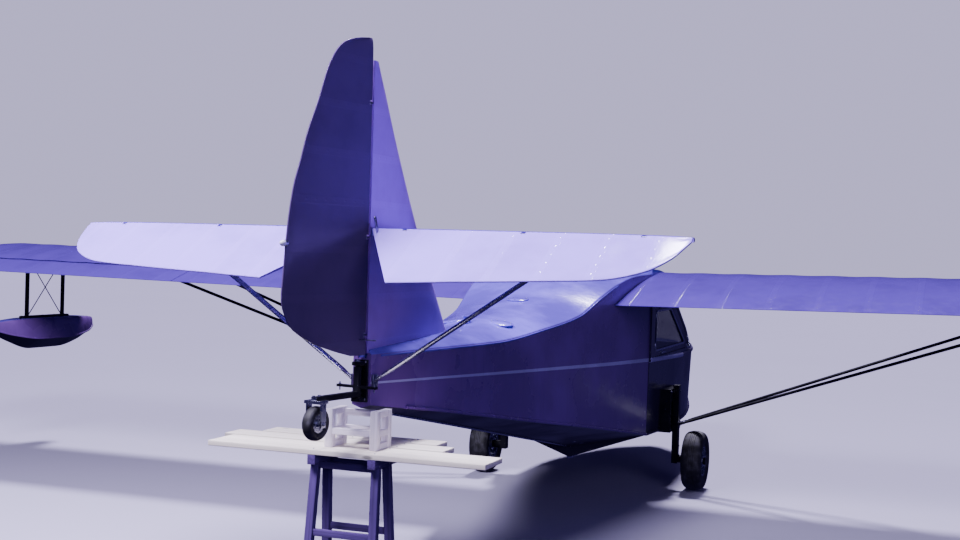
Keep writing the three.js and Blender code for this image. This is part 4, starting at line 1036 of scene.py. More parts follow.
def wing_surface(outboard, x, side, sizes, sag=1.0):
    """A point of the wing's skin. Side is 1 above and -1 below. The cover sinks between the ribs by a
    cosine, from behind the nose sheet to the trailing edge, and the tip thins by a quarter ellipse."""
    nose, tail = np.moveaxis(smooth(WING_ROWS, outboard), -1, 0)
    chord = CHORD - nose - tail
    slim = fading(outboard - WING_END + TIP_ROUND, TIP_ROUND)
    bay = 0.5 - 0.5 * np.cos(2 * pi * outboard / sizes.rib_spacing)
    loose = ease(0.14, 0.22, x) * (1 - ease(0.9, 0.99, x)) * ease(0, 0.1, outboard) * ease(0, 0.3, slim)
    rise = (camber(x) + side * half_thickness(x) * slim) * chord - side * sag * sizes.sag * bay * loose
    return wing_place(outboard, (1 - x) * chord, rise, tail)


def hinge_place(outboard):
    return wing_place(outboard, AILERON["chord"], HINGE_RISE)


def wing_part(outboard, cut, sizes):
    """Rings of the wing between two ribs. Where it is cut, the tail of the ring is the cove: an arc
    about the aileron's hinge, from the lower skin to the upper one."""
    front = COVE_AT * (1 - np.cos(np.linspace(0, pi / 2, 26)))
    rear = COVE_AT + (1 - COVE_AT) * np.linspace(0, 1, 9)[1:]
    o = np.asarray(outboard)[:, None]
    root = np.where((1 - front) * CHORD > STEP_STATION - TRAILING_STATION, ROOT_LAP, 0)
    o_front = np.where(o < -0.1, o + root, o)
    skin = [wing_surface(o_front[:, ::-1] + 0 * front, front[::-1], 1, sizes)]
    skin.append(wing_surface(o_front[:, 1:] + 0 * front[1:], front[1:], -1, sizes))
    if cut:
        ahead = (HINGE_PART - COVE_AT) * CHORD
        reach = np.hypot(ahead, half_thickness(COVE_AT) * CHORD)
        open_to = np.arccos(ahead / reach)
        arc = np.linspace(-open_to, open_to, 2 * len(rear) + 2)[1:-1]
        skin.append(wing_place(o, AILERON["chord"] + reach * np.cos(arc), HINGE_RISE + reach * np.sin(arc)))
    else:
        skin.append(wing_surface(o + 0 * rear, rear, -1, sizes))
        skin.append(wing_surface(o + 0 * rear, rear[::-1], 1, sizes))
    return np.concatenate(skin, axis=1)


# Tail surfaces. Distances run along the hinge line: heights on fin and rudder, laterals elsewhere.
# Columns: distance, chord behind the hinge, nose radius, slope of the end towards the tip.
RUDDER_ROWS = [
    (1.236, 0.100, 0.013, 0),
    (1.264, 0.230, 0.013, 0),
    (1.330, 0.450, 0.013, 0),
    (1.400, 0.565, 0.013, 0),
    (1.515, 0.618, 0.013, 0),
    (1.640, 0.608, 0.013, 0),
    (1.830, 0.588, 0.013, 0),
    (2.000, 0.555, 0.013, 0),
    (2.120, 0.510, 0.013, 0),
    (2.230, 0.472, 0.013, 0),
    (2.380, 0.400, 0.013, 0),
    (2.570, 0.315, 0.012, 0),
    (2.670, 0.220, 0.011, 0),
    (2.708, 0.110, 0.008, 0),
    (2.722, 0.020, 0.004, 0),
]
ELEVATOR_ROWS = [
    (0.036, 0.500, 0.016, 0.54),
    (0.600, 0.468, 0.016, 0),
    (1.000, 0.430, 0.016, 0),
    (1.240, 0.400, 0.015, 0),
    (1.400, 0.315, 0.013, 0),
    (1.490, 0.185, 0.011, 0),
    (TAIL_HALF_SPAN, 0.030, 0.009, 0),
]
# Columns: distance, chord ahead of the hinge, half thickness.
FIN_ROWS = [
    (1.240, 1.120, 0.019),
    (1.300, 1.060, 0.019),
    (1.350, 1.020, 0.019),
    (1.820, 0.630, 0.018),
    (2.260, 0.315, 0.017),
    (2.500, 0.160, 0.016),
    (2.620, 0.076, 0.015),
]
STABILIZER_ROWS = [
    (0.000, 0.560, 0.019),
    (0.600, 0.510, 0.019),
    (1.150, 0.430, 0.018),
    (1.400, 0.320, 0.016),
    (1.500, 0.190, 0.013),
    (TAIL_HALF_SPAN, 0.060, 0.011),
]
RUDDER_HINGES = (1.33, 1.79, 2.42)
ELEVATOR_HINGES = (0.2, 0.78, 1.33)
TAIL_EDGE = 0.004  # radius of a trailing edge
FIN_GROOVE, STABILIZER_GROOVE = 0.021, 0.024  # each leaves a nose 8 mm of room


def slack(distance, part, sizes, start):
    """How far the cover sinks: a cosine between ribs, nought at the nose and the trailing edge."""
    bay = 0.5 - 0.5 * np.cos(2 * pi * (distance - start) / sizes.tail_rib_spacing)
    return 0.6 * sizes.sag * bay * ease(0.02, 0.2, part) * (1 - ease(0.8, 1, part))


def spread(low, high, step):
    """Places from low to high, about a step apart."""
    return np.linspace(low, high, max(2, int(round((high - low) / step))))


def build_wings(sizes):
    """The wing panels, cut out for the aileron, with its hinge brackets."""
    step = sizes.rib_spacing / 8
    start, stop = AILERON["from"], AILERON["to"]
    tip = WING_END - TIP_ROUND * (1 - np.sin(np.linspace(0, pi / 2, 16)))
    parts = [
        wing_part(np.concatenate([[-ROOT_LAP], spread(0.0, start, step)]), False, sizes),
        wing_part(spread(start, stop, step), True, sizes),
        wing_part(np.concatenate([[stop, (stop + tip[0]) / 2], tip]), False, sizes),
    ]
    skin = closed(np.concatenate(parts))
    for outboard in AILERON["hinges"]:
        pin = hinge_place(outboard)
        bar(skin, pin + [0, 0.1, 0], pin - [0, 0.01, 0], 0.02, 0.008, (0, 0, 1), 0.002, 1)
        tube(skin, [hinge_place(outboard - PIN_HALF), hinge_place(outboard + PIN_HALF)], 0.005, 12, paint=1)
        disc(skin, pin, (1, 0, 0), 0.01, -0.009, 0.009, 20, 1)
    # the wings wear the cloth with the painted shadow
    pair(skin, "wing_skin", ["wing_fabric", "zinc"], "wing")


def bays(start, stop, hinges, step):
    """Runs of places between the slots of a moving surface and across each slot, by turns."""
    marks = [(h - SLOT["half"], h + SLOT["half"]) for h in hinges]
    edges = np.concatenate([[start], *marks, [stop]])
    runs = [spread(low, high, step) for low, high in zip(edges[:-1], edges[1:])]
    return [(run, i % 2 == 1) for i, run in enumerate(runs)]


def build_ailerons(sizes):
    """Skin behind the hinge and a round nose about it. At each hinge a slot is cut into the nose: there
    the ring is drawn back to the slot's bottom."""
    rear = blend_between(HINGE_PART, 1, np.linspace(0, 1, 10))
    turn = np.linspace(pi / 2, -pi / 2, 13)[1:-1]
    nose_x, nose_z = AILERON["nose"] * np.array([np.cos(turn), np.sin(turn)])
    rings = []
    start, stop = AILERON["from"] + SEAM, AILERON["to"] - SEAM
    for run, slotted in bays(start, stop, AILERON["hinges"], sizes.rib_spacing / 8):
        o = run[:, None]
        upper = wing_surface(o + 0 * rear, rear[::-1], 1, sizes)
        arc = wing_place(o, AILERON["chord"] + nose_x, HINGE_RISE + nose_z)
        ring = np.concatenate([upper, arc, wing_surface(o + 0 * rear, rear, -1, sizes)], axis=1)
        if slotted:
            ring[..., 1] = np.minimum(ring[..., 1], hinge_place(0.0)[1] - SLOT["deep"])
        rings.append(ring)
    # the ailerons wear the cloth with the painted shadow
    pair(closed(np.concatenate(rings)), "aileron_skin", "wing_fabric", "aileron", "aileron")


def moving_rings(rows, start, hinges, sizes):
    """Rings behind a hinge line: a half round nose with a slot at each hinge, flat flanks that taper,
    and a round trailing edge. Axes: along the hinge, forward, through the thickness."""
    flank = np.linspace(0, 1, 12)[1:]
    turn = np.linspace(pi / 2, -pi / 2, 13)
    back = np.linspace(-pi / 2, pi / 2, 7)[1:-1]
    parts = bays(rows[0][0], rows[-1][0], hinges, 0.03)
    rings = []
    for i, (run, slotted) in enumerate(parts):
        low, high, count = run[0], run[-1], len(run)
        if i == len(parts) - 1:
            run = low + (high - low) * np.sin(np.linspace(0, pi / 2, 2 * count))
        elif i == 0 and rows is RUDDER_ROWS:
            run = low + (high - low) * (1 - np.cos(np.linspace(0, pi / 2, 3 * count)))
        chord, nose, _ = (c[:, None] for c in smooth(rows, run).T)
        slope = np.interp(run, [rows[0][0], rows[1][0]], [rows[0][3], rows[1][3]])[:, None]
        d = run[:, None]
        edge = np.minimum(TAIL_EDGE, 0.8 * nose)
        reach = chord - edge
        thick = nose + (edge - nose) * flank - slack(d, flank, sizes, start)
        y = [nose * np.cos(turn), -reach * flank, -reach - edge * np.cos(back), -reach * flank[::-1]]
        z = [nose * np.sin(turn), -thick, edge * np.sin(back), thick[:, ::-1]]
        y, z = np.hstack(y), np.hstack(z)
        if slotted:
            y = np.minimum(y, -SLOT["deep"])
        rings.append(np.stack([d - slope * np.minimum(y, 0), y, z], -1))
    return np.concatenate(rings)


def fixed_rings(rows, distance, groove, sizes, start):
    """Rings ahead of a hinge line: thickness falls as the root of one less a power of the way forward,
    and the rear is an arc about the hinge that leaves the moving nose its room."""
    chord, half = (c[:, None] for c in smooth(rows, distance).T)
    d = np.asarray(distance)[:, None]
    lip = np.sqrt(np.clip(groove**2 - half**2, 0, None))
    open_to = np.arcsin(np.clip(half / groove, 0, 1))
    way = np.sin(np.linspace(0, pi / 2, 22))
    y = lip + (chord - lip) * way
    loose = slack(d, way, sizes, start) * (half > 0.0125)
    z = half * np.sqrt(np.clip(1 - way**3.2, 0, 1)) - loose
    arc = np.linspace(-1, 1, 9)[1:-1] * open_to
    ring_y = np.hstack([y, y[:, -2::-1], groove * np.cos(arc)])
    ring_z = np.hstack([z, -z[:, -2::-1], groove * np.sin(arc)])
    return np.stack([d + 0 * ring_y, ring_y, ring_z], -1)


def on_fin(points):
    """From distance along the hinge, way forward and thickness to the frame, for an upright hinge."""
    return np.stack([-points[..., 2], points[..., 1] + HINGE_Y, points[..., 0]], -1)


def on_rudder(points):
    """From the rudder's own axes to the frame, at its rest angle."""
    return turned(points, RUDDER_REST, (0, 0, 1), (0, 0, 0)) + np.array([0, HINGE_Y, 0])


def on_stabilizer(points):
    return points + np.array([0, HINGE_Y, TAILPLANE_Z])


def on_elevator(points):
    return on_stabilizer(turned(points, ELEVATOR_REST, (1, 0, 0), (0, 0, 0)))


def hinge_bracket(skin, pin, line, ahead):
    """A plate from a fixed surface to the hinge line, its eye and its pin."""
    line, ahead = unit(line), unit(ahead)
    bar(skin, pin + 0.07 * ahead, pin - 0.01 * ahead, 0.019, 0.008, np.cross(line, ahead), 0.002, 1)
    disc(skin, pin, line, 0.01, -0.008, 0.008, 18, 1)
    tube(skin, [pin - PIN_HALF * line, pin + PIN_HALF * line], 0.005, 12, ahead, 1)


def braced(rings, lay, line, hinges):
    """A fixed tail surface with the brackets of its hinges."""
    skin = closed(lay(rings))
    for far in hinges:
        hinge_bracket(skin, lay(np.array([far, 0.0, 0.0])), line, (0, 1, 0))
    return skin


def build_fin_and_rudder(sizes):
    height = np.concatenate([np.linspace(1.24, 2.55, 70), np.linspace(2.56, 2.62, 8)])
    rings = fixed_rings(FIN_ROWS, height, FIN_GROOVE, sizes, FIN_RIB_START)
    skin = braced(rings, on_fin, (0, 0, 1), RUDDER_HINGES)
    # the fin wears the cloth with the painted grazing light
    made(skin, "fin_cover", ["fin_fabric_painted_grazing_light", "zinc"], "fin", "light_paint")
    rings = on_fin(moving_rings(RUDDER_ROWS, FIN_RIB_START, RUDDER_HINGES, sizes))
    skin = closed(turned(rings, RUDDER_REST, (0, 0, 1), (0, HINGE_Y, 0)))
    # the rudder wears the cloth with painted shade
    made(skin, "rudder_cover", "rudder_fabric", "rudder", body="rudder_body")


def build_tailplane(sizes):
    lateral = np.concatenate([np.linspace(0.02, 1.4, 60), np.linspace(1.41, TAIL_HALF_SPAN, 14)])
    rings = fixed_rings(STABILIZER_ROWS, lateral, STABILIZER_GROOVE, sizes, TAIL_RIB_START)
    skin = braced(rings, on_stabilizer, (1, 0, 0), ELEVATOR_HINGES)
    pair(skin, "stabilizer_cover", ["tail_fabric", "zinc"], "stabilizer", slot="light_paint")
    rings = moving_rings(ELEVATOR_ROWS, TAIL_RIB_START, ELEVATOR_HINGES, sizes)
    pair(closed(on_elevator(rings)), "elevator_cover", "tail_fabric", "elevator", "elevator")


def eased(node, name, names, width, paint=None, body="airframe"):
    """A solid of the frame with its flat faces made whole and its edges rounded by width. Paint gives
    the material numbers from the middles and the normals of its faces."""
    shape = bmesh.new()
    shape.from_mesh(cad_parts[node].data)
    bmesh.ops.remove_doubles(shape, verts=shape.verts, dist=2 * WELD)
    bmesh.ops.dissolve_limit(shape, angle_limit=radians(1), verts=shape.verts, edges=shape.edges)
    mesh = bpy.data.meshes.new(name)
    shape.to_mesh(mesh)
    shape.free()
    write(mesh.attributes.new("local", "FLOAT_VECTOR", "POINT").data, "vector", read(mesh.vertices, "co"))
    if paint:
        numbers = paint(read(mesh.polygons, "center"), read(mesh.polygons, "normal"))
        mesh.polygons.foreach_set("material_index", numbers.astype(np.int32))
    mesh.shade_smooth()
    mesh.set_sharp_from_angle(angle=BEVEL_FROM)
    return set_up(mesh, name, names, node, None, body, bevel=width)


def rim(skin, outline, x, wide, proud, corner, paint=0):
    """A half round strip round a window on the starboard side. Each corner of the outline, given as
    stations and heights, is a parabola between the two edges that meet there."""
    points = np.asarray(outline, float)
    before, after = np.roll(points, 1, axis=0), np.roll(points, -1, axis=0)
    reach_in = np.minimum(corner, 0.45 * np.linalg.norm(before - points, axis=1))[:, None]
    reach_out = np.minimum(corner, 0.45 * np.linalg.norm(after - points, axis=1))[:, None]
    first = points + unit(before - points) * reach_in
    last = points + unit(after - points) * reach_out
    t = np.linspace(0, 1, 7)[:, None, None]
    bends = first * (1 - t) ** 2 + 2 * points * t * (1 - t) + last * t * t
    flat = bends.transpose(1, 0, 2).reshape(-1, 2)
    start = (flat[-1] + flat[0]) / 2
    flat = np.vstack([start, flat, start])
    strake(skin, place(x, flat[:, 0], flat[:, 1]), wide, proud, paint)


# Window shapes on the cabin sides as stations and heights, and the screen's slope.
SCREEN_SLOPE = 0.53854
HATCH_PANE = [(3.746, 1.05), (4.814, 1.05), (4.814, 1.0646), (4.2651, 1.339), (3.746, 1.339)]
QUARTER_PANE = [(4.935, 1.004), (5.1, 1.004), (4.935, 1.094)]
SCREEN = {"half": 0.515, "low": 1.03, "high": 1.425, "foot": 5.22, "base": 0.98035, "strip": 0.03}
PANES = ["windshield"] + [f"{pane}_glass_{name}" for pane in ("hatch", "quarter") for _, name in SIDES]
HATCH = {"x": 0.5845, "latch": 3.96, "latch_z": 1.027, "handle": 0.1}
HATCH_SCREWS = np.array([3.842, 3.878, 4.242, 4.278])  # stations of the hinge screws
LATCH = [(0, 0), (0.019, 0), (0.019, 0.003), (0.012, 0.006), (0, 0.007)]


def on_screen(x, z):
    """A point of the screen's slope at a lateral and a height."""
    return place(x, SCREEN["foot"] - (z - SCREEN["base"]) / SCREEN_SLOPE, z)


def inner_faces(middles, normals):
    """Which faces of the cabin frame look inwards, or down from its roof."""
    x = middles[:, 0]
    return (x * normals[:, 0] < -0.1) | (np.abs(x) < 0.4) & (normals[:, 2] < -0.3)


def build_hatches():
    """The hatches, each with the strip round its pane, its latch handle and its screws."""
    for _, hand in SIDES:
        # the hatches take the cabin enamel, with the wing's shadow painted in
        eased(f"hatch_{hand}", f"hatch_shell_{hand}", "cabin", 0.003, body=f"hatch_{hand}_body")
    skin = Skin()
    x, station, z = HATCH["x"], HATCH["latch"], HATCH["latch_z"]
    rim(skin, HATCH_PANE, x, 0.016, 0.004, 0.03)
    lathe(skin, LATCH, place(x, station, z), (1, 0, 0), 24)
    start = place(x + 0.008, station - 0.01, z)
    bar(skin, start, start + [0, HATCH["handle"], 0], 0.013, 0.006, (0, 0, 1))
    studs(skin, place(x + 0.0005, HATCH_SCREWS, 1.362), (1, 0, 0), 0.003, 1, 6)
    studs(skin, place(x - 0.0005, np.linspace(3.78, 4.78, 11), 1.018), (1, 0, 0), 0.003, 1, 6)
    pair(skin, "hatch_trim", ["alloy", "zinc"], body="hatch")


def build_cabin():
    """Cabin frame, the panes, and strips with screws round the screen and the quarter windows."""
    # the cabin frame takes the cabin enamel, with the wing's shadow painted in
    eased("cabin_frame", "cabin_shell", ["cabin", "lining"], 0.003, inner_faces)
    for pane in PANES:
        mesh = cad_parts[pane].data
        mesh.materials.clear()
        # the panes take the acrylic whose dark tint is painted cabin shade
        mesh.materials.append(finish("acrylic"))
    skin = Skin()
    half, wide = SCREEN["half"], SCREEN["strip"]
    low_z, high_z = SCREEN["low"] - wide / 2, SCREEN["high"] + 0.012
    square = unit([0, SCREEN_SLOPE, 1])
    for x in (-half - 0.012, half + 0.012):
        low, high = on_screen(x, low_z), on_screen(x, high_z)
        bar(skin, low, high, wide, 0.006, (1, 0, 0))
        spots = blend_between(low, high, np.linspace(0.03, 0.97, 14)[:, None])
        studs(skin, spots + 0.003 * square, square, 0.0035, 1, 6)
    for z in (low_z, high_z):
        ends = (on_screen(x, z) for x in (-half - 0.027, half + 0.027))
        bar(skin, *ends, wide, 0.006, (0, 1, -SCREEN_SLOPE))
    bar(skin, on_screen(0, SCREEN["low"]), on_screen(0, SCREEN["high"]), 0.022, 0.008, (1, 0, 0))
    made(skin, "screen_trim", ["alloy", "zinc"])
    quarter = Skin()
    rim(quarter, QUARTER_PANE, FRAME_HALF - 0.002, 0.012, 0.005, 0.015)
    made(quarter.mirror(), "quarter_window_trim", "alloy")


def wing_mid(lateral, station):
    """Height of the wing's middle line above a point of the plan."""
    ahead = (station - TRAILING_STATION) / np.cos(INCIDENCE)
    rise = (lateral - WING_ROOT) * np.tan(DIHEDRAL) + ahead * np.sin(INCIDENCE)
    return TRAILING_Z + rise + camber(1 - ahead / CHORD) * CHORD


# Struts under the wing. Columns: name, station of the foot, station of the head, lateral of the skin.
LIFT_STRUTS = [("front", 4.272, 3.95, 3.27), ("rear", 4.196, 3.34, 3.345)]
LIFT_FOOT = {"x": 0.61, "z": 0.445, "from": 0.672}
LIFT_HEAD = 3.5
TAIL_STRUT = {"foot": (0.054, 0.0249, 1.116), "head": (1.046, 0.0615, 1.794)}


def build_lift_struts():
    """Each V strut runs straight from the gear frame to a spar, with a fork at its foot and a bolt at each
    end.
    """
    foot_x, skin_from = LIFT_FOOT["x"], LIFT_FOOT["from"]
    for label, foot, head, lateral in LIFT_STRUTS:
        low = place(foot_x, foot, LIFT_FOOT["z"])
        high = place(LIFT_HEAD, head, wing_mid(LIFT_HEAD, head))
        at = lambda x: low + (high - low) * (x - foot_x) / (LIFT_HEAD - foot_x)
        out = unit(np.cross((0, 1, 0), unit(high - low)))
        skin = Skin()
        strut(skin, at(skin_from + 0.02), at(lateral), 0.056, 0.026, (0.5, 0.8))
        bar(skin, at(skin_from - 0.008), at(skin_from + 0.07), 0.03, 0.02, (0, 1, 0), 0.003, 1)
        bolt(skin, at(skin_from + 0.015) + 0.01 * out, out, 0.008, 1, 0.024)
        bolt(skin, at(lateral - 0.05) + 0.012 * out, out, 0.008, 1, 0.026)
        pair(skin, f"lift_strut_{label}_skin", ["steel", "zinc"], f"lift_strut_{label}")
    plates = Skin()
    slab(plates, place(0.6605, 4.16, 0.432), place(0.668, 4.335, 0.51), 0.003)
    for station in (4.175, 4.235, 4.32):
        bolt(plates, place(0.668, station, 0.448), (1, 0, 0), 0.006, 1)
    made(plates.mirror(), "lift_strut_plates", ["steel", "zinc"])


def build_tail_struts():
    """Bright streamlined tubes from the stern to the underside of the tailplane."""
    low, high = (place(*TAIL_STRUT[end]) for end in ("foot", "head"))
    way = unit(high - low)
    out = unit(np.cross(way, (0, 1, 0)))
    skin = Skin()
    strut(skin, low + 0.012 * way, high, 0.044, 0.026, (0.5, 0.5))
    bar(skin, low - 0.004 * way, low + 0.045 * way, 0.02, 0.013, (0, 1, 0), paint=1)
    slab(skin, place(1.03, 0.02, 1.7905), place(1.075, 0.11, 1.797), paint=1)
    slab(skin, place(0.048, 0.004, 1.085), place(0.058, 0.06, 1.145), paint=1)
    bolt(skin, low + 0.024 * way + 0.0065 * out, out, 0.006, 1, 0.015)
    bolt(skin, high - 0.03 * way + 0.006 * out, out, 0.005, 1, 0.012)
    studs(skin, place(0.058, np.array([0.013, 0.05]), 1.093), (1, 0, 0), 0.004, 1)
    pair(skin, "tail_strut_tube", ["alloy", "zinc"], "tail_strut")


# Tip floats. Columns: station, half breadth, keel z, chine z, top z.
FLOAT_LATERAL = 4.7
FLOAT_ROWS = [
    (2.95, 0.018, 0.968, 0.985, 1.022),
    (3.15, 0.082, 0.880, 0.930, 1.050),
    (3.45, 0.128, 0.800, 0.890, 1.060),
    (3.80, 0.130, 0.798, 0.888, 1.060),
    (4.08, 0.100, 0.850, 0.918, 1.054),
    (4.22, 0.055, 0.925, 0.962, 1.040),
    (4.27, 0.012, 0.985, 0.995, 1.018),
]
FLOAT_STRUTS = (3.4, 3.86)
FLOAT_TOP = 1.06
FLOAT_FOOT = {"rear": 3.34, "front": 3.92, "half": 0.03, "top": 1.076}
FOOT_SCREWS = (3.36, 3.48, 3.63, 3.78, 3.9)
FLOAT_WIRES = [(3.42, 3.82), (3.84, 3.44)]  # stations of the foot and the head of each wire


def build_float_struts():
    """The posts of the tip floats with their foot plates, bolts and crossed wires."""
    x = FLOAT_LATERAL
    skin = Skin()
    for station in FLOAT_STRUTS:
        high = wing_mid(x, station) - 0.055
        sweep(skin, place(x, station, np.linspace(FLOAT_TOP, high, 8)), streamlined(0.05, 0.024))
        for up in (FLOAT_TOP + 0.03, high - 0.035):
            bolt(skin, place(x + 0.0115, station, up), (1, 0, 0), 0.006, 1, 0.023)
    half, top = FLOAT_FOOT["half"], FLOAT_FOOT["top"]
    high = place(x + half, FLOAT_FOOT["front"], top)
    slab(skin, place(x - half, FLOAT_FOOT["rear"], FLOAT_TOP - 0.006), high, 0.005)
    for station in FOOT_SCREWS:
        studs(skin, place(x + np.array([-0.02, 0.02]), station, top), (0, 0, 1), 0.004, 1)
    wire_high = wing_mid(x, FLOAT_WIRES[0][1]) - 0.06
    for low, high in FLOAT_WIRES:
        tube(skin, [place(x, low, 1.08), place(x, high, wire_high)], 0.004, 8, (1, 0, 0), 1)
    pair(skin, "float_struts_tubes", ["steel", "zinc"], "float_struts")


def build_tip_floats():
    """Sections from keel to chine are straight, and a quarter of a superellipse leads on to the deck."""
    first, last = FLOAT_ROWS[0][0], FLOAT_ROWS[-1][0]
    stations = first + (last - first) * (1 - np.cos(np.linspace(0, pi, 60))) / 2
    half, keel, chine, top = (c[:, None] for c in smooth(FLOAT_ROWS, stations).T)
    t = np.linspace(0, 1, 6)
    turn = np.linspace(0, pi / 2, 11)[1:]
    flat = 0.52  # part of the breadth that is flat deck
    x = np.hstack([half * t, half * (flat + (1 - flat) * np.cos(turn) ** 0.7), half * flat * t[-2::-1]])
    z = np.hstack([keel + (chine - keel) * t, chine + (top - chine) * np.sin(turn) ** 0.8, top + 0 * t[:-1]])
    full, paint = both_halves(place(x, stations[:, None], z), np.repeat([0, 1, 2], [5, 9, 6]))
    skin = Skin()
    skin.grid(full + np.array([FLOAT_LATERAL, 0, 0]), paint, ends=True)
    inner = slice(3, -3)
    for way in (-1, 1):
        beam = FLOAT_LATERAL + way * half[inner, 0]
        path = place(beam, stations[inner], chine[inner, 0])
        sweep(skin, path, rounded(0.01, 0.012, 0.003), (1, 0, 0), 1)
    pair(skin, "tip_float_shell", ["bottom", "hull", "deck"], "tip_float")


# Hub of a main wheel: radius and offset along the axle.
HUB = [
    (0.017, -0.062),
    (0.042, -0.062),
    (0.048, -0.022),
    (0.096, -0.022),
    (0.099, -0.062),
    (0.11165, -0.062),
    (0.11165, 0.062),
    (0.099, 0.062),
    (0.096, 0.022),
    (0.048, 0.022),
    (0.042, 0.062),
    (0.017, 0.062),
]
TAIL_HUB = [
    (0.0066, -0.030),
    (0.014, -0.030),
    (0.016, -0.018),
    (0.04165, -0.018),
    (0.04165, 0.018),
    (0.016, 0.018),
    (0.014, 0.030),
    (0.0066, 0.030),
]
# Side of a tyre: part of its depth outwards, part of its half width.
TYRE_SIDE = [(0, 0.78), (0.3, 0.98), (0.65, 1.0), (0.9, 0.72), (1.0, 0.24)]
GROOVE = {"apart": 0.013, "half": 0.0017, "deep": 0.0035}


def tyre_profile(wheel, grooves):
    """The side curve, the crown and the side again. A groove is a notch: a steep bell of the distance
    from its middle, taken off the radius."""
    side = flowing(TYRE_SIDE, 30)
    radius = wheel["rim"] + side[:, 0] * (wheel["radius"] - wheel["rim"])
    across = side[:, 1] * wheel["width"] / 2
    flat = np.linspace(across[-1], -across[-1], 40)[1:-1]
    radius = np.concatenate([radius, wheel["radius"] + 0 * flat, radius[::-1]])
    across = np.concatenate([across, flat, -across[::-1]])
    fine = np.linspace(0, len(radius) - 1, (4 if grooves else 1) * len(radius))
    radius, across = (np.interp(fine, np.arange(len(radius)), v) for v in (radius, across))
    middles = (np.arange(grooves) - (grooves - 1) / 2) * GROOVE["apart"]
    notch = np.exp(-(((across[:, None] - middles) / GROOVE["half"]) ** 4)).sum(1)
    return np.column_stack([radius - GROOVE["deep"] * notch * (radius > 0.9 * wheel["radius"]), across])


def wheel_pieces(wheel, hub, centre, axle, body, names, grooves):
    """Hub and tyre about an axle. The hub has a ring of bolts on each side of its web."""
    axle = unit(axle)
    across = unit(np.cross((0, 0, 1), axle))
    skin = Skin()
    lathe(skin, hub, centre, axle, 64, shut=True)
    for way in (-1, 1):
        middle = centre + way * wheel["web"] * axle
        for spot in ring_about(middle, across, np.array([0, 0, 1]), *wheel["bolts"]):
            bolt(skin, spot, way * axle, wheel["bolt"], 1)
    made(skin, names[0], ["alloy", "zinc"], names[1], body=body, bevel=0.0015)
    skin = Skin()
    lathe(skin, tyre_profile(wheel, grooves), centre, axle, 96, shut=True)
    made(skin, names[2], "rubber", names[3], body=body)


# The sprung tube in a gear frame: its place, and the heights of its rubber blocks.
SPRING = {"x": 0.632, "station": 4.19, "low": 0.47, "high": 0.71}
BLOCKS = 0.50 + 0.026 * np.arange(6)
BLOCK = [(0, -0.011), (0.024, -0.011), (0.0275, -0.006), (0.0275, 0.006), (0.024, 0.011), (0, 0.011)]
# Bolts of a gear frame. Columns: lateral, station, height, radius.
GEAR_BOLTS = [(0.6605, at, z, 0.008) for z in (0.45, 0.73) for at in (4.0, 4.32)]
GEAR_BOLTS += [(0.7005, 4.12, z, 0.0085) for z in (0.25, 0.32, 0.46, 0.73)]


def build_gear(sizes):
    """Gear frames with leg and axle, the rubber sprung tube inside each, and the wheels."""
    x, station = SPRING["x"], SPRING["station"]
    skin = Skin()
    tube(skin, [place(x, station, SPRING["low"]), place(x, station, SPRING["high"])], 0.012, 20, (1, 0, 0))
    for z in BLOCKS:
        lathe(skin, BLOCK, place(x, station, z), (0, 0, 1), 28, 1)
    disc(skin, place(x, station, BLOCKS[-1] + 0.012), (0, 0, 1), 0.03, 0, 0.004, 28, 2)
    for *spot, radius in GEAR_BOLTS:
        bolt(skin, place(*spot), (1, 0, 0), radius, 2)
    pair(skin, "gear_spring", ["alloy", "rubber", "zinc"])
    for side, hand in SIDES:
        eased(f"gear_leg_{hand}", f"gear_frame_{hand}", "steel", 0.003)
        centre = np.array([side * WHEEL["x"], WHEEL["y"], WHEEL["z"]])
        names = (f"wheel_disc_{hand}", f"wheel_hub_{hand}", f"wheel_tyre_{hand}", f"tyre_{hand}")
        wheel_pieces(WHEEL, HUB, centre, (side, 0, 0), f"wheel_{hand}_body", names, sizes.tread_grooves)


def build_tail_wheel():
    """Bracket, swivelling fork with its bright crown, and the small wheel behind it."""
    eased("tail_bracket", "kingpin_bracket", "steel", 0.002)
    crown = lambda middles, normals: middles[:, 1] < KINGPIN[1] - 0.25
    eased("tailwheel_fork", "swivel_fork", ["steel", "alloy"], 0.0015, crown, "tail_fork_body")
    swing = lambda x, y, z: turned(KINGPIN + [x, y, z], RUDDER_REST, (0, 0, 1), KINGPIN)
    up, axle = (0, 0, 1), swing(1, 0, 0) - swing(0, 0, 0)
    arm, axle_z = TAILWHEEL["arm"], TAILWHEEL["z"]
    skin = Skin()
    for z in (1.205, 1.03):
        for x in (-0.022, 0.022):
            studs(skin, np.array([x, HINGE_Y - 0.0125, z]), (0, -1, 0), 0.0055)
    bolt(skin, KINGPIN + [0, 0, 1.2085], up, 0.011)
    made(skin, "bracket_bolts", "zinc")
    skin = Skin()
    for x in (-0.098, 0.098):
        spot = swing(x, 0, 1.0972)
        bolt(skin, spot, up, 0.006)
        tube(skin, [spot - [0, 0, 0.028], spot + [0, 0, 0.012]], 0.003, 10, (1, 0, 0))
    for side in (-1, 1):
        bolt(skin, swing(side * 0.0442, -arm, axle_z), side * axle, 0.009)
    for y in (-0.29, -0.33):
        bolt(skin, swing(0, y, 1.0702), up, 0.007)
    made(skin, "fork_bolts", "zinc", body="tail_fork_body")
    names = ("tail_wheel_disc", "tailwheel_hub", "tail_wheel_tyre", "tailwheel_tyre")
    wheel_pieces(TAILWHEEL, TAIL_HUB, swing(0, -arm, axle_z), axle, "tail_wheel_body", names, 0)


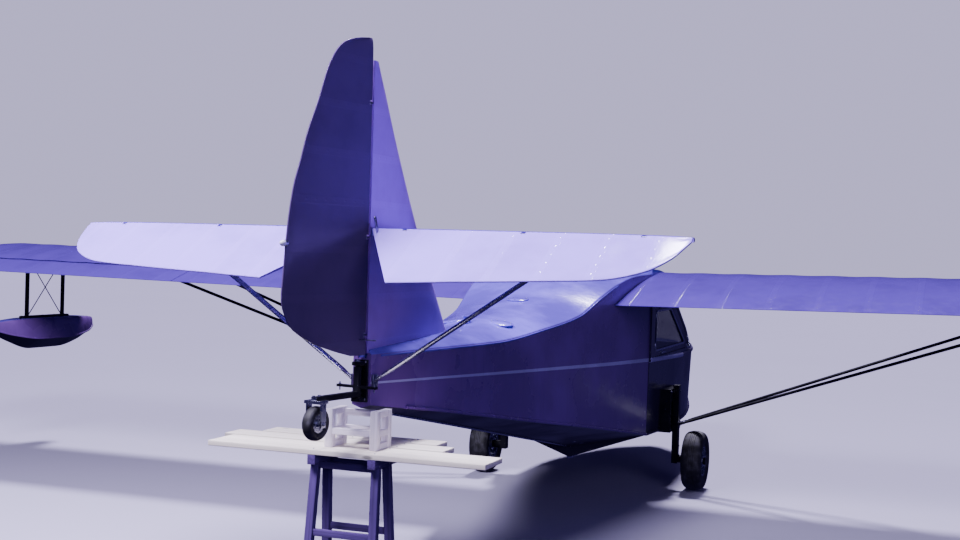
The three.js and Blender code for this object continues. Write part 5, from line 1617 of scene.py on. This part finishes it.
# Trestle. Columns: station at the top, station of the foot.
TRESTLE_LEGS = [(-0.14, -0.21), (-0.03, 0.04)]
TRESTLE = {"top": 0.78, "head_x": 0.152, "foot_x": 0.172, "bar": 0.038, "rail": 0.045, "ends": (-0.2, 0.37)}
RUNG_HEIGHTS = (0.12, 0.42, 0.73)
# Boards. Columns: rear station, front station, port end, starboard end.
BOARDS = [(-0.2, 0.03, -0.7, 0.7), (0.05, 0.2, -0.76, 0.4), (0.215, 0.365, -0.64, 0.3)]
BOARD_Z = (0.78035, 0.80535)
CRIB = {"x": 0.115, "bar": 0.038, "low": 0.8057, "top": 0.985, "rear": -0.105, "front": 0.06, "rail": 0.03}
CRIB_LAYERS = (0.86735, 0.94375)
# How far the grain moves along from one stick to the next, so that no two look alike.
LEG_SHIFT, RUNG_SHIFT, BOARD_SHIFT, BLOCK_SHIFT = 0.37, 0.41, 0.63, 0.29


def leaning(skin, foot, head, wide, shift):
    """An upright that leans: the same level square at every height between foot and head."""
    t = np.array([0, 0.004, 0.25, 0.5, 0.75, 0.996, 1])[:, None, None]
    corner = 0.003
    section = rounded(wide, wide, corner)
    slim = np.where((t == 0) | (t == 1), 1 - corner / wide, 1)
    level = np.concatenate([section, np.zeros((len(section), 1))], -1)
    points = foot + t * (head - foot) + level * slim
    run = np.broadcast_to(t * np.linalg.norm(head - foot), points.shape[:2] + (1,))
    local = np.concatenate([np.broadcast_to(section, points.shape[:2] + (2,)), run], -1)
    skin.grid(points, wrap=True, ends=True, local=local + shift)


def build_trestle():
    """Four leaning legs, rungs across each pair, and two rails under the boards, with nail heads."""
    skin = Skin()
    number = count(1)
    head_x, foot_x, top = TRESTLE["head_x"], TRESTLE["foot_x"], TRESTLE["top"]
    for head, foot in TRESTLE_LEGS:
        for side in (-1, 1):
            high = place(side * head_x, head, top - 0.002)
            leaning(skin, place(side * foot_x, foot, 0.0), high, TRESTLE["bar"], LEG_SHIFT * next(number))
        for z in RUNG_HEIGHTS:
            x, station = blend_between(np.array([foot_x, foot]), np.array([head_x, head]), z / top)
            high = place(x, station + 0.011, z + 0.016)
            slab(skin, place(-x, station - 0.011, z - 0.016), high, shift=RUNG_SHIFT * next(number))
    rear, front = TRESTLE["ends"]
    for side in (-1, 1):
        x = side * head_x
        low = place(x - 0.02, rear, top - TRESTLE["rail"])
        slab(skin, low, place(x + 0.02, front, top), shift=RUNG_SHIFT * next(number))
        for station, _ in TRESTLE_LEGS:
            spots = place(x + side * 0.02, station + np.array([-0.01, 0.012]), np.array([0.745, 0.768]))
            studs(skin, spots, (side, 0, 0), 0.004, 1)
    made(skin, "trestle_sticks", ["old_wood", "zinc"], "stand_trestle")


def build_boards():
    """Three sawn boards with nails over the rails."""
    for number, (rear, front, port, starboard) in enumerate(BOARDS, 1):
        skin = Skin()
        low, high = place(port, rear, BOARD_Z[0]), place(starboard, front, BOARD_Z[1])
        slab(skin, low, high, 0.003, shift=BOARD_SHIFT * number)
        for x in (-0.155, 0.155):
            spots = place(x, np.array([rear + 0.03, front - 0.03]), BOARD_Z[1])
            studs(skin, spots, (0, 0, 1), 0.004, 1)
        made(skin, f"board_{number}", ["board_wood", "zinc"], f"stand_plank_{number}")


def build_crib():
    """Posts, side rails and cross bars stacked under the keel."""
    half, thick, rear = CRIB["bar"] / 2, CRIB["rail"], CRIB["rear"]
    front = CRIB["front"] - CRIB["bar"]
    lower, upper = CRIB_LAYERS
    boxes = []
    for x in (-CRIB["x"], CRIB["x"]):
        for at in (rear, front):
            boxes.append([(x - half, at, CRIB["low"]), (x + half, at + CRIB["bar"], CRIB["top"])])
        start, stop = rear + CRIB["bar"] - 0.001, front + 0.001
        for z in (CRIB["low"], lower, CRIB["top"] - thick):
            boxes.append([(x - half + 0.002, start, z), (x + half - 0.002, stop, z + thick)])
    x = CRIB["x"] - half + 0.001
    for at, z in ((rear, lower), (front, lower), (front, upper)):
        boxes.append([(-x, at + 0.002, z), (x, at + CRIB["bar"] - 0.002, z + thick)])
    skin = Skin()
    for number, (low, high) in enumerate(boxes, 1):
        slab(skin, place(*low), place(*high), 0.0025, shift=BLOCK_SHIFT * number)
    made(skin, "crib_blocks", ["new_wood", "zinc"], "stand_crib")


# Seats: side view corners from the rear foot round, as stations and heights, and half breadth.
CUSHION = [(3.823, 0.447), (4.296, 0.447), (4.296, 0.55), (3.823, 0.55)]
BACKREST = [(3.797, 0.566), (3.883, 0.566), (3.775, 1.082), (3.708, 1.082)]
SEAT_HALF = 0.494
PAD = {"voxel": 0.009, "pressure": 4.0, "frames": 20, "cap": 0.012, "seam": 0.009, "fill": 0.55}
SEAMS = (-0.25, 0.0, 0.25)  # laterals of the sewn channels


def swollen(shape, cap):
    """Lets air pressure swell a cloth for a while, and returns its points, none moved further than
    the cap."""
    scene = bpy.context.scene
    cloth = shape.modifiers.new("cloth", "CLOTH")
    cloth.settings.use_pressure = True
    cloth.settings.uniform_pressure_force = PAD["pressure"]
    cloth.settings.effector_weights.gravity = 0
    for number in range(1, PAD["frames"] + 1):
        scene.frame_set(number)
    after = read(shape.evaluated_get(bpy.context.evaluated_depsgraph_get()).to_mesh().vertices, "co")
    before = read(shape.data.vertices, "co")
    shape.modifiers.remove(cloth)
    scene.frame_set(1)
    move = after - before
    far = np.linalg.norm(move, axis=1, keepdims=True)
    return before + move * np.minimum(1, cap / np.maximum(far, 1e-9))


def build_pad(name, node, corners):
    """A stuffed pad: the side view carried across, remeshed, swollen, and drawn in at the seams by a
    bell of the distance from each."""
    t = np.linspace(0, 1, 9)[:-1, None]
    outline = np.asarray(corners, float)
    loop = np.concatenate([blend_between(a, b, t) for a, b in zip(outline, np.roll(outline, -1, axis=0))])
    across = np.linspace(-SEAT_HALF, SEAT_HALF, 41)
    pad = made(closed(place(across[:, None], loop[:, 0], loop[:, 1])), name, "vinyl", node)
    grown = pad.modifiers.new("voxels", "REMESH")
    grown.mode, grown.voxel_size = "VOXEL", PAD["voxel"]
    mesh = bpy.data.meshes.new_from_object(pad.evaluated_get(bpy.context.evaluated_depsgraph_get()))
    pad.modifiers.remove(grown)
    pad.data = mesh
    write(mesh.vertices, "co", swollen(pad, PAD["cap"]))
    points, normals = read(mesh.vertices, "co"), read(mesh.vertices, "normal")
    groove = sum(np.exp(-(((points[:, 0] - x) / PAD["seam"]) ** 2)) for x in SEAMS)
    flat = np.abs(normals[:, 0]) < 0.7
    write(mesh.vertices, "co", points - normals * (PAD["seam"] * groove * flat)[:, None])
    mesh.shade_smooth()
    finer = pad.modifiers.new("finer", "SUBSURF")
    finer.levels = finer.render_levels = 1


PANEL_REAR = 4.99
# Gauges on the board. Columns: lateral, height, radius.
GAUGES = [
    (-0.3, 0.885, 0.036),
    (-0.21, 0.885, 0.036),
    (-0.255, 0.808, 0.026),
    (0, 0.88, 0.04),
    (0.21, 0.885, 0.036),
    (0.3, 0.885, 0.036),
]
BEZEL = [(1, 0), (1.16, 0), (1.16, 0.1), (1.06, 0.2), (1, 0.16)]  # for a dial with a radius of one
SWITCHES = {"x": np.linspace(-0.12, 0.12, 5), "z": 0.80}
KNOBS = {"x": (0.36, 0.41), "z": 0.81}
KNOB = [(0, 0), (0.004, 0), (0.004, 0.018), (0.014, 0.018), (0.016, 0.022), (0.014, 0.03), (0, 0.032)]


def build_panel():
    """The board in front of the seats, with bezels, dial glasses, needles, switches and knobs."""
    eased("instrument_panel", "instrument_board", "wrinkle", 0.003)
    skin = Skin()
    aft, across, up = np.array([0, -1, 0]), np.array([1, 0, 0]), np.array([0, 0, 1])
    for x, z, radius in GAUGES:
        centre = place(x, PANEL_REAR, z)
        lathe(skin, np.array(BEZEL) * radius, centre, aft, 40, shut=True)
        disc(skin, centre, aft, radius, 0.001, 0.003, 40, 1)
        lean = np.sin(40 * x + z) * 1.2
        needle = 0.8 * radius * (np.sin(lean) * across + np.cos(lean) * up)
        foot = centre + 0.004 * aft
        bar(skin, foot, foot + needle, 0.0025, 0.001, np.cross(foot + needle - centre, aft), 0.0004, 2)
        studs(skin, ring_about(centre, across, up, 12, 0.86 * radius) + 0.003 * aft, aft, 0.0016, 2, 6)
    for x in SWITCHES["x"]:
        spot = place(x, PANEL_REAR, SWITCHES["z"])
        disc(skin, spot, aft, 0.008, 0, 0.003, 12, 3)
        tube(skin, [spot, spot + 0.016 * aft + 0.007 * up], 0.0028, 8, (1, 0, 0), 3)
    for x in KNOBS["x"]:
        lathe(skin, KNOB, place(x, PANEL_REAR, KNOBS["z"]), aft, 24, 1)
    made(skin, "gauges", ["alloy", "wrinkle", "stripe", "zinc"])


COLUMN = {"station": 4.72, "base": (0.06, 0.04), "base_z": 0.468, "top": 0.875, "cross": 0.86, "yoke": 0.26}
BOOT = [(0.016, 0), (0.03, 0), (0.024, 0.02), (0.016, 0.03)]
YOKE = {"half": 0.07, "high": 0.926, "drop": 0.066, "tube": 0.0095}
YOKE_HUB = [(0, -0.014), (0.02, -0.014), (0.022, 0.0), (0.02, 0.014), (0, 0.014)]
# Grip of a yoke. Columns: radius, height.
GRIP = [
    (0, 0.852),
    (0.0105, 0.852),
    (0.0118, 0.858),
    (0.0105, 0.89),
    (0.0118, 0.921),
    (0.008, 0.93),
    (0, 0.93),
]


def build_controls():
    """A column between the seats with a cross tube and a half wheel at each end."""
    at = lambda x, z, aft=0.0: place(x, COLUMN["station"] - aft, z)
    across, along = COLUMN["base"]
    base_z, cross, yoke = COLUMN["base_z"], COLUMN["cross"], COLUMN["yoke"]
    skin = Skin()
    slab(skin, at(-across, FLOOR_Z + 0.0005, along), at(across, base_z, -along), 0.006)
    tube(skin, [at(0, 0.46), at(0, COLUMN["top"])], 0.016, 24)
    disc(skin, at(0, cross), (1, 0, 0), 0.021, -0.02, 0.02, 24)
    lathe(skin, BOOT, at(0, base_z), (0, 0, 1), 24, 2, shut=True)
    tube(skin, [at(-yoke, cross), at(yoke, cross)], 0.012, 20)
    spread_out = np.linspace(-1, 1, 25)
    rise = YOKE["high"] - YOKE["drop"] * ease(0, 1, (1 - np.abs(spread_out)) * 4)
    for x in (-yoke, yoke):
        tube(skin, at(x + YOKE["half"] * np.clip(spread_out * 1.25, -1, 1), rise), YOKE["tube"], 14)
        for way in (-1, 1):
            lathe(skin, GRIP, at(x + way * YOKE["half"], 0), (0, 0, 1), 18, 1)
        lathe(skin, YOKE_HUB, at(x, cross), (0, 1, 0), 24, 2)
    for x in (-0.045, 0.045):
        for aft in (0.025, -0.025):
            bolt(skin, at(x, base_z, aft), (0, 0, 1), 0.006, 2)
    made(skin, "control_tubes", ["steel", "rubber", "zinc"], "control_column")


def build_pylon_base():
    """The bare seat of the engine pylon on the roof, with its bolts."""
    eased("pylon_base", "pylon_seat", "alloy", 0.003)
    skin = Skin()
    for station in (3.79, 4.13):
        for x in (-0.2, -0.1, 0.1, 0.2):
            bolt(skin, place(x, station, 1.6618), (0, 0, 1), 0.009)
    made(skin, "pylon_bolts", "zinc")


# Lamp glasses. Columns: radius, offset.
TAIL_DOME = [
    (0, 0.006),
    (0.0132, 0.006),
    (0.0142, 0.012),
    (0.0138, 0.02),
    (0.0105, 0.028),
    (0.005, 0.0325),
    (0, 0.0335),
]
TIP_DOME = [(0, 0.004), (0.012, 0.004), (0.011, 0.014), (0.006, 0.02), (0, 0.021)]
EYE = [(0.005, -0.003), (0.009, -0.003), (0.009, 0.003), (0.005, 0.003)]


def build_lamps():
    """Tail light on the rudder and a coloured lamp on each wing tip."""
    foot = on_rudder(np.array([0.0, -0.59835, 1.75]))
    way = on_rudder(np.array([0.0, -1.0, 0.0])) - on_rudder(np.zeros(3))
    skin = Skin()
    disc(skin, foot, way, 0.0145, -0.006, 0.008, 28, 1)
    lathe(skin, TAIL_DOME, foot, way, 28)
    made(skin, "tail_lamp", ["clear_lens", "zinc"], "tail_light", body="rudder_body")
    spot, way = wing_place(4.84, 1.42, camber(0.02) * CHORD), (0.35, 1, 0)
    for side, hand in SIDES:
        skin = Skin()
        disc(skin, spot, way, 0.014, -0.02, 0.004, 24, 1)
        lathe(skin, TIP_DOME, spot, way, 24)
        glass = "green_lens" if side > 0 else "red_lens"
        made(skin, f"tip_lamp_{hand}", [glass, "zinc"], side=side)


def horn(skin, near, far, axis):
    """A plate with an eye at its far end."""
    bar(skin, near, far, 0.024, 0.004, (0, 1, 0), 0.0015)
    lathe(skin, EYE, far, axis, 16, shut=True)


def build_horns():
    """Control horns on rudder and elevators, one to each side of the surface."""
    skin = Skin()
    for way in (-1, 1):
        ends = [on_rudder(np.array(end)) for end in ((0.01 * way, -0.035, 1.31), (0.085 * way, -0.03, 1.31))]
        horn(skin, *ends, (0, 0, 1))
    made(skin, "rudder_horn", "zinc", body="rudder_body")
    skin = Skin()
    for way in (-1, 1):
        ends = [on_elevator(np.array([0.075, -0.03, way * far])) for far in (0.01, 0.085)]
        horn(skin, *ends, (1, 0, 0))
    pair(skin, "elevator_horn", "zinc", body="elevator")


# Rows of screws on the hull. Columns: table, first and last station, edge, out, up, way out, radius.
SCREW_ROWS = [
    (AFTERBODY, 0.36, 3.54, CHINE, 0.0118, RAIL_UP, (1, 0, 0), 0.0032),
    (FOREBODY, 3.66, 6.3, CHINE, 0.0165, RAIL_UP, (1, 0, 0), 0.0032),
    (AFTERBODY, 0.14, 2.85, DECK, 0.0005, -0.03, (1, -0.12, 0), 0.003),
]
PLUG = [(0, -0.004), (0.016, -0.004), (0.016, 0.003), (0, 0.004)]
PLUG_X = 0.12


def build_hull_screws():
    """Rows of screw heads along the chines and the sheer, and bilge plugs at the step."""
    skin = Skin()
    for rows, start, stop, edge, out, up, way, radius in SCREW_ROWS:
        studs(skin, beside(rows, np.arange(start, stop, 0.12), edge, out, up), way, radius, 0, 6)
    for station in (3.5, 3.3):
        row = smooth(AFTERBODY, station)
        height = blend_between(row[KEEL], row[CHINE_Z], PLUG_X / row[CHINE])
        lathe(skin, PLUG, place(PLUG_X, station, height), (0.35, -0.15, -1), 20)
    made(skin.mirror(), "hull_screws", "zinc")


class BOAT_OT_hull(bpy.types.Operator):
    """Afterbody and forebody with their rails, lining, deck fittings and screws"""

    bl_idname = "boat.hull"
    bl_label = "Hull"

    def execute(self, context):
        build_afterbody(context.scene.boat_sizes)
        build_forebody()
        build_lining()
        build_deck_fittings()
        build_hull_screws()
        return {"FINISHED"}


class BOAT_OT_roof(bpy.types.Operator):
    """Centre section over the cabin with the seat of the pylon"""

    bl_idname = "boat.roof"
    bl_label = "Roof"

    def execute(self, context):
        build_roof()
        build_pylon_base()
        return {"FINISHED"}


class BOAT_OT_cabin(bpy.types.Operator):
    """Cabin frame, hatches, panes and their trim"""

    bl_idname = "boat.cabin"
    bl_label = "Cabin"

    def execute(self, context):
        build_cabin()
        build_hatches()
        return {"FINISHED"}


class BOAT_OT_seats(bpy.types.Operator):
    """Stuffed seat and back rest"""

    bl_idname = "boat.seats"
    bl_label = "Seats"

    def execute(self, context):
        build_pad("seat_pad", "seat_cushion", CUSHION)
        build_pad("back_pad", "seat_back", BACKREST)
        return {"FINISHED"}


class BOAT_OT_controls(bpy.types.Operator):
    """Instrument board and control column"""

    bl_idname = "boat.controls"
    bl_label = "Controls"

    def execute(self, context):
        build_panel()
        build_controls()
        return {"FINISHED"}


class BOAT_OT_wings(bpy.types.Operator):
    """Wing panels and ailerons"""

    bl_idname = "boat.wings"
    bl_label = "Wings"

    def execute(self, context):
        build_wings(context.scene.boat_sizes)
        build_ailerons(context.scene.boat_sizes)
        return {"FINISHED"}


class BOAT_OT_struts(bpy.types.Operator):
    """Lift struts and tail struts"""

    bl_idname = "boat.struts"
    bl_label = "Struts"

    def execute(self, context):
        build_lift_struts()
        build_tail_struts()
        return {"FINISHED"}


class BOAT_OT_tip_floats(bpy.types.Operator):
    """Both tip floats on their struts"""

    bl_idname = "boat.tip_floats"
    bl_label = "Tip floats"

    def execute(self, context):
        build_tip_floats()
        build_float_struts()
        return {"FINISHED"}


class BOAT_OT_fin_and_rudder(bpy.types.Operator):
    """Fin and rudder covers with their hinges"""

    bl_idname = "boat.fin_and_rudder"
    bl_label = "Fin and rudder"

    def execute(self, context):
        build_fin_and_rudder(context.scene.boat_sizes)
        return {"FINISHED"}


class BOAT_OT_tailplane(bpy.types.Operator):
    """Both stabilizers and elevators"""

    bl_idname = "boat.tailplane"
    bl_label = "Tailplane"

    def execute(self, context):
        build_tailplane(context.scene.boat_sizes)
        return {"FINISHED"}


class BOAT_OT_horns_and_lamps(bpy.types.Operator):
    """Control horns and lamps"""

    bl_idname = "boat.horns_and_lamps"
    bl_label = "Horns and lamps"

    def execute(self, context):
        build_horns()
        build_lamps()
        return {"FINISHED"}


class BOAT_OT_wheels(bpy.types.Operator):
    """Gear frames, main wheels and tail wheel"""

    bl_idname = "boat.wheels"
    bl_label = "Wheels"

    def execute(self, context):
        build_gear(context.scene.boat_sizes)
        build_tail_wheel()
        return {"FINISHED"}


class BOAT_OT_stand(bpy.types.Operator):
    """Trestle, boards and crib that hold the tail"""

    bl_idname = "boat.stand"
    bl_label = "Stand"

    def execute(self, context):
        build_trestle()
        build_boards()
        build_crib()
        return {"FINISHED"}


# The photograph's camera: place in the frame, and how it looks.
CAMERA = {
    "place": (2.595, -8.5875, 1.75),
    "to_port": radians(20),
    "down": radians(0.925),
    "roll": 0.03,
    "lens": 48.75,
}
# A wide soft sun: where it stands, what it aims at, its strength, its width and its sRGB colour.
SUN = {
    "place": (-1.2, 8.0, 14.0),
    "aim": (0, -0.5, 0.9),
    "strength": 7.6,
    "angle": radians(8),
    "code": "#E9E3FF",
}
# Soft lamps. Columns: name, place, aim, watts, size in metres, sRGB colour.
LAMPS = [
    ("tail", (-1.8, -5.6, 6.0), (0, -3.0, 1.6), 1200, 2.5, "#E9E3FF"),
    ("fill", (9.0, -11.0, 5.0), (0, -0.5, 0.9), 420, 6.0, "#C9C0FF"),
]
BACKDROP = ("#BBB4DE", 1.25)  # what the camera sees past the floor
AMBIENT = ("#7A68D8", 0.16)  # what lights the shadows
FLOOR_HALF = 120.0


def hang(name, lamp, spot, aim):
    """Puts a lamp in its place and turns it to what it aims at."""
    light = bpy.data.objects.new(name, lamp)
    light.location = spot
    light.rotation_mode = "QUATERNION"
    light.rotation_quaternion = (Vector(aim) - Vector(spot)).to_track_quat("-Z", "Y")
    bpy.context.scene.collection.objects.link(light)
    return light


def build_stage():
    """The camera, the floor, the lamps and the light of the room."""
    scene = bpy.context.scene
    camera = bpy.data.objects.new("camera", bpy.data.cameras.new("camera"))
    scene.collection.objects.link(camera)
    scene.camera = camera
    port, down = CAMERA["to_port"], CAMERA["down"]
    look = Vector((-np.sin(port) * np.cos(down), np.cos(port) * np.cos(down), -np.sin(down)))
    camera.location = CAMERA["place"]
    camera.rotation_mode = "QUATERNION"
    camera.rotation_quaternion = look.to_track_quat("-Z", "Y") @ Quaternion((0, 0, 1), CAMERA["roll"])
    camera.data.lens = CAMERA["lens"]
    camera.data.sensor_width = 36
    camera.data.clip_end = 500

    x, y = np.meshgrid(*[np.linspace(-FLOOR_HALF, FLOOR_HALF, 9)] * 2)
    skin = Skin()
    skin.grid(np.stack([x, y, 0 * x], -1))
    floor = bpy.data.objects.new("floor", skin.mesh("floor"))
    floor.data.materials.append(finish("floor"))
    scene.collection.objects.link(floor)
    floor.visible_diffuse = floor.visible_glossy = False  # it throws no light back: shaded sides stay dark

    sun = bpy.data.lights.new("sun", "SUN")
    sun.energy, sun.angle, sun.color = SUN["strength"], SUN["angle"], linear(SUN["code"])
    hang("sun", sun, SUN["place"], SUN["aim"])
    for name, spot, aim, watts, size, code in LAMPS:
        lamp = bpy.data.lights.new(name, "AREA")
        lamp.energy, lamp.size, lamp.color = watts, size, linear(code)
        hang(name, lamp, spot, aim).visible_camera = False
    world = bpy.data.worlds.new("studio")
    scene.world = world
    world.use_nodes = True
    tree = world.node_tree
    tree.nodes.clear()
    seen, shadow = (
        add(tree, "Background", {"Color": (*linear(code), 1), "Strength": strength}).outputs[0]
        for code, strength in (BACKDROP, AMBIENT)
    )
    eye = add(tree, "LightPath").outputs["Is Camera Ray"]
    mixed = add(tree, "MixShader", {0: eye, 1: shadow, 2: seen}).outputs[0]
    add(tree, "OutputWorld", {"Surface": mixed})


class BOAT_OT_stage(bpy.types.Operator):
    """Floor, soft lights and the camera"""

    bl_idname = "boat.stage"
    bl_label = "Stage"

    def execute(self, context):
        build_stage()
        return {"FINISHED"}


OPERATORS = [
    BOAT_OT_stage,
    BOAT_OT_hull,
    BOAT_OT_roof,
    BOAT_OT_cabin,
    BOAT_OT_seats,
    BOAT_OT_controls,
    BOAT_OT_wings,
    BOAT_OT_struts,
    BOAT_OT_tip_floats,
    BOAT_OT_fin_and_rudder,
    BOAT_OT_tailplane,
    BOAT_OT_horns_and_lamps,
    BOAT_OT_wheels,
    BOAT_OT_stand,
]


class BOAT_PT_panel(bpy.types.Panel):
    """The steps that build the boat, in order"""

    bl_idname = "BOAT_PT_panel"
    bl_label = "Flying boat"
    bl_space_type = "VIEW_3D"
    bl_region_type = "UI"
    bl_category = "Flying boat"

    def draw(self, context):
        for group in (context.scene.boat_colours, context.scene.boat_sizes):
            for name in group.bl_rna.properties.keys():
                if name not in ("rna_type", "name"):
                    self.layout.prop(group, name)
        for operator in OPERATORS:
            self.layout.operator(operator.bl_idname)


CLASSES = [BoatColours, BoatSizes, *OPERATORS, BOAT_PT_panel]


def register():
    for cls in CLASSES:
        bpy.utils.register_class(cls)
    bpy.types.Scene.boat_colours = PointerProperty(type=BoatColours)
    bpy.types.Scene.boat_sizes = PointerProperty(type=BoatSizes)


def unregister():
    del bpy.types.Scene.boat_sizes
    del bpy.types.Scene.boat_colours
    for cls in reversed(CLASSES):
        bpy.utils.unregister_class(cls)


def main():
    register()
    for operator in OPERATORS:
        step = operator.bl_idname.split(".")[1]
        getattr(bpy.ops.boat, step)()


if __name__ == "__main__":
    main()
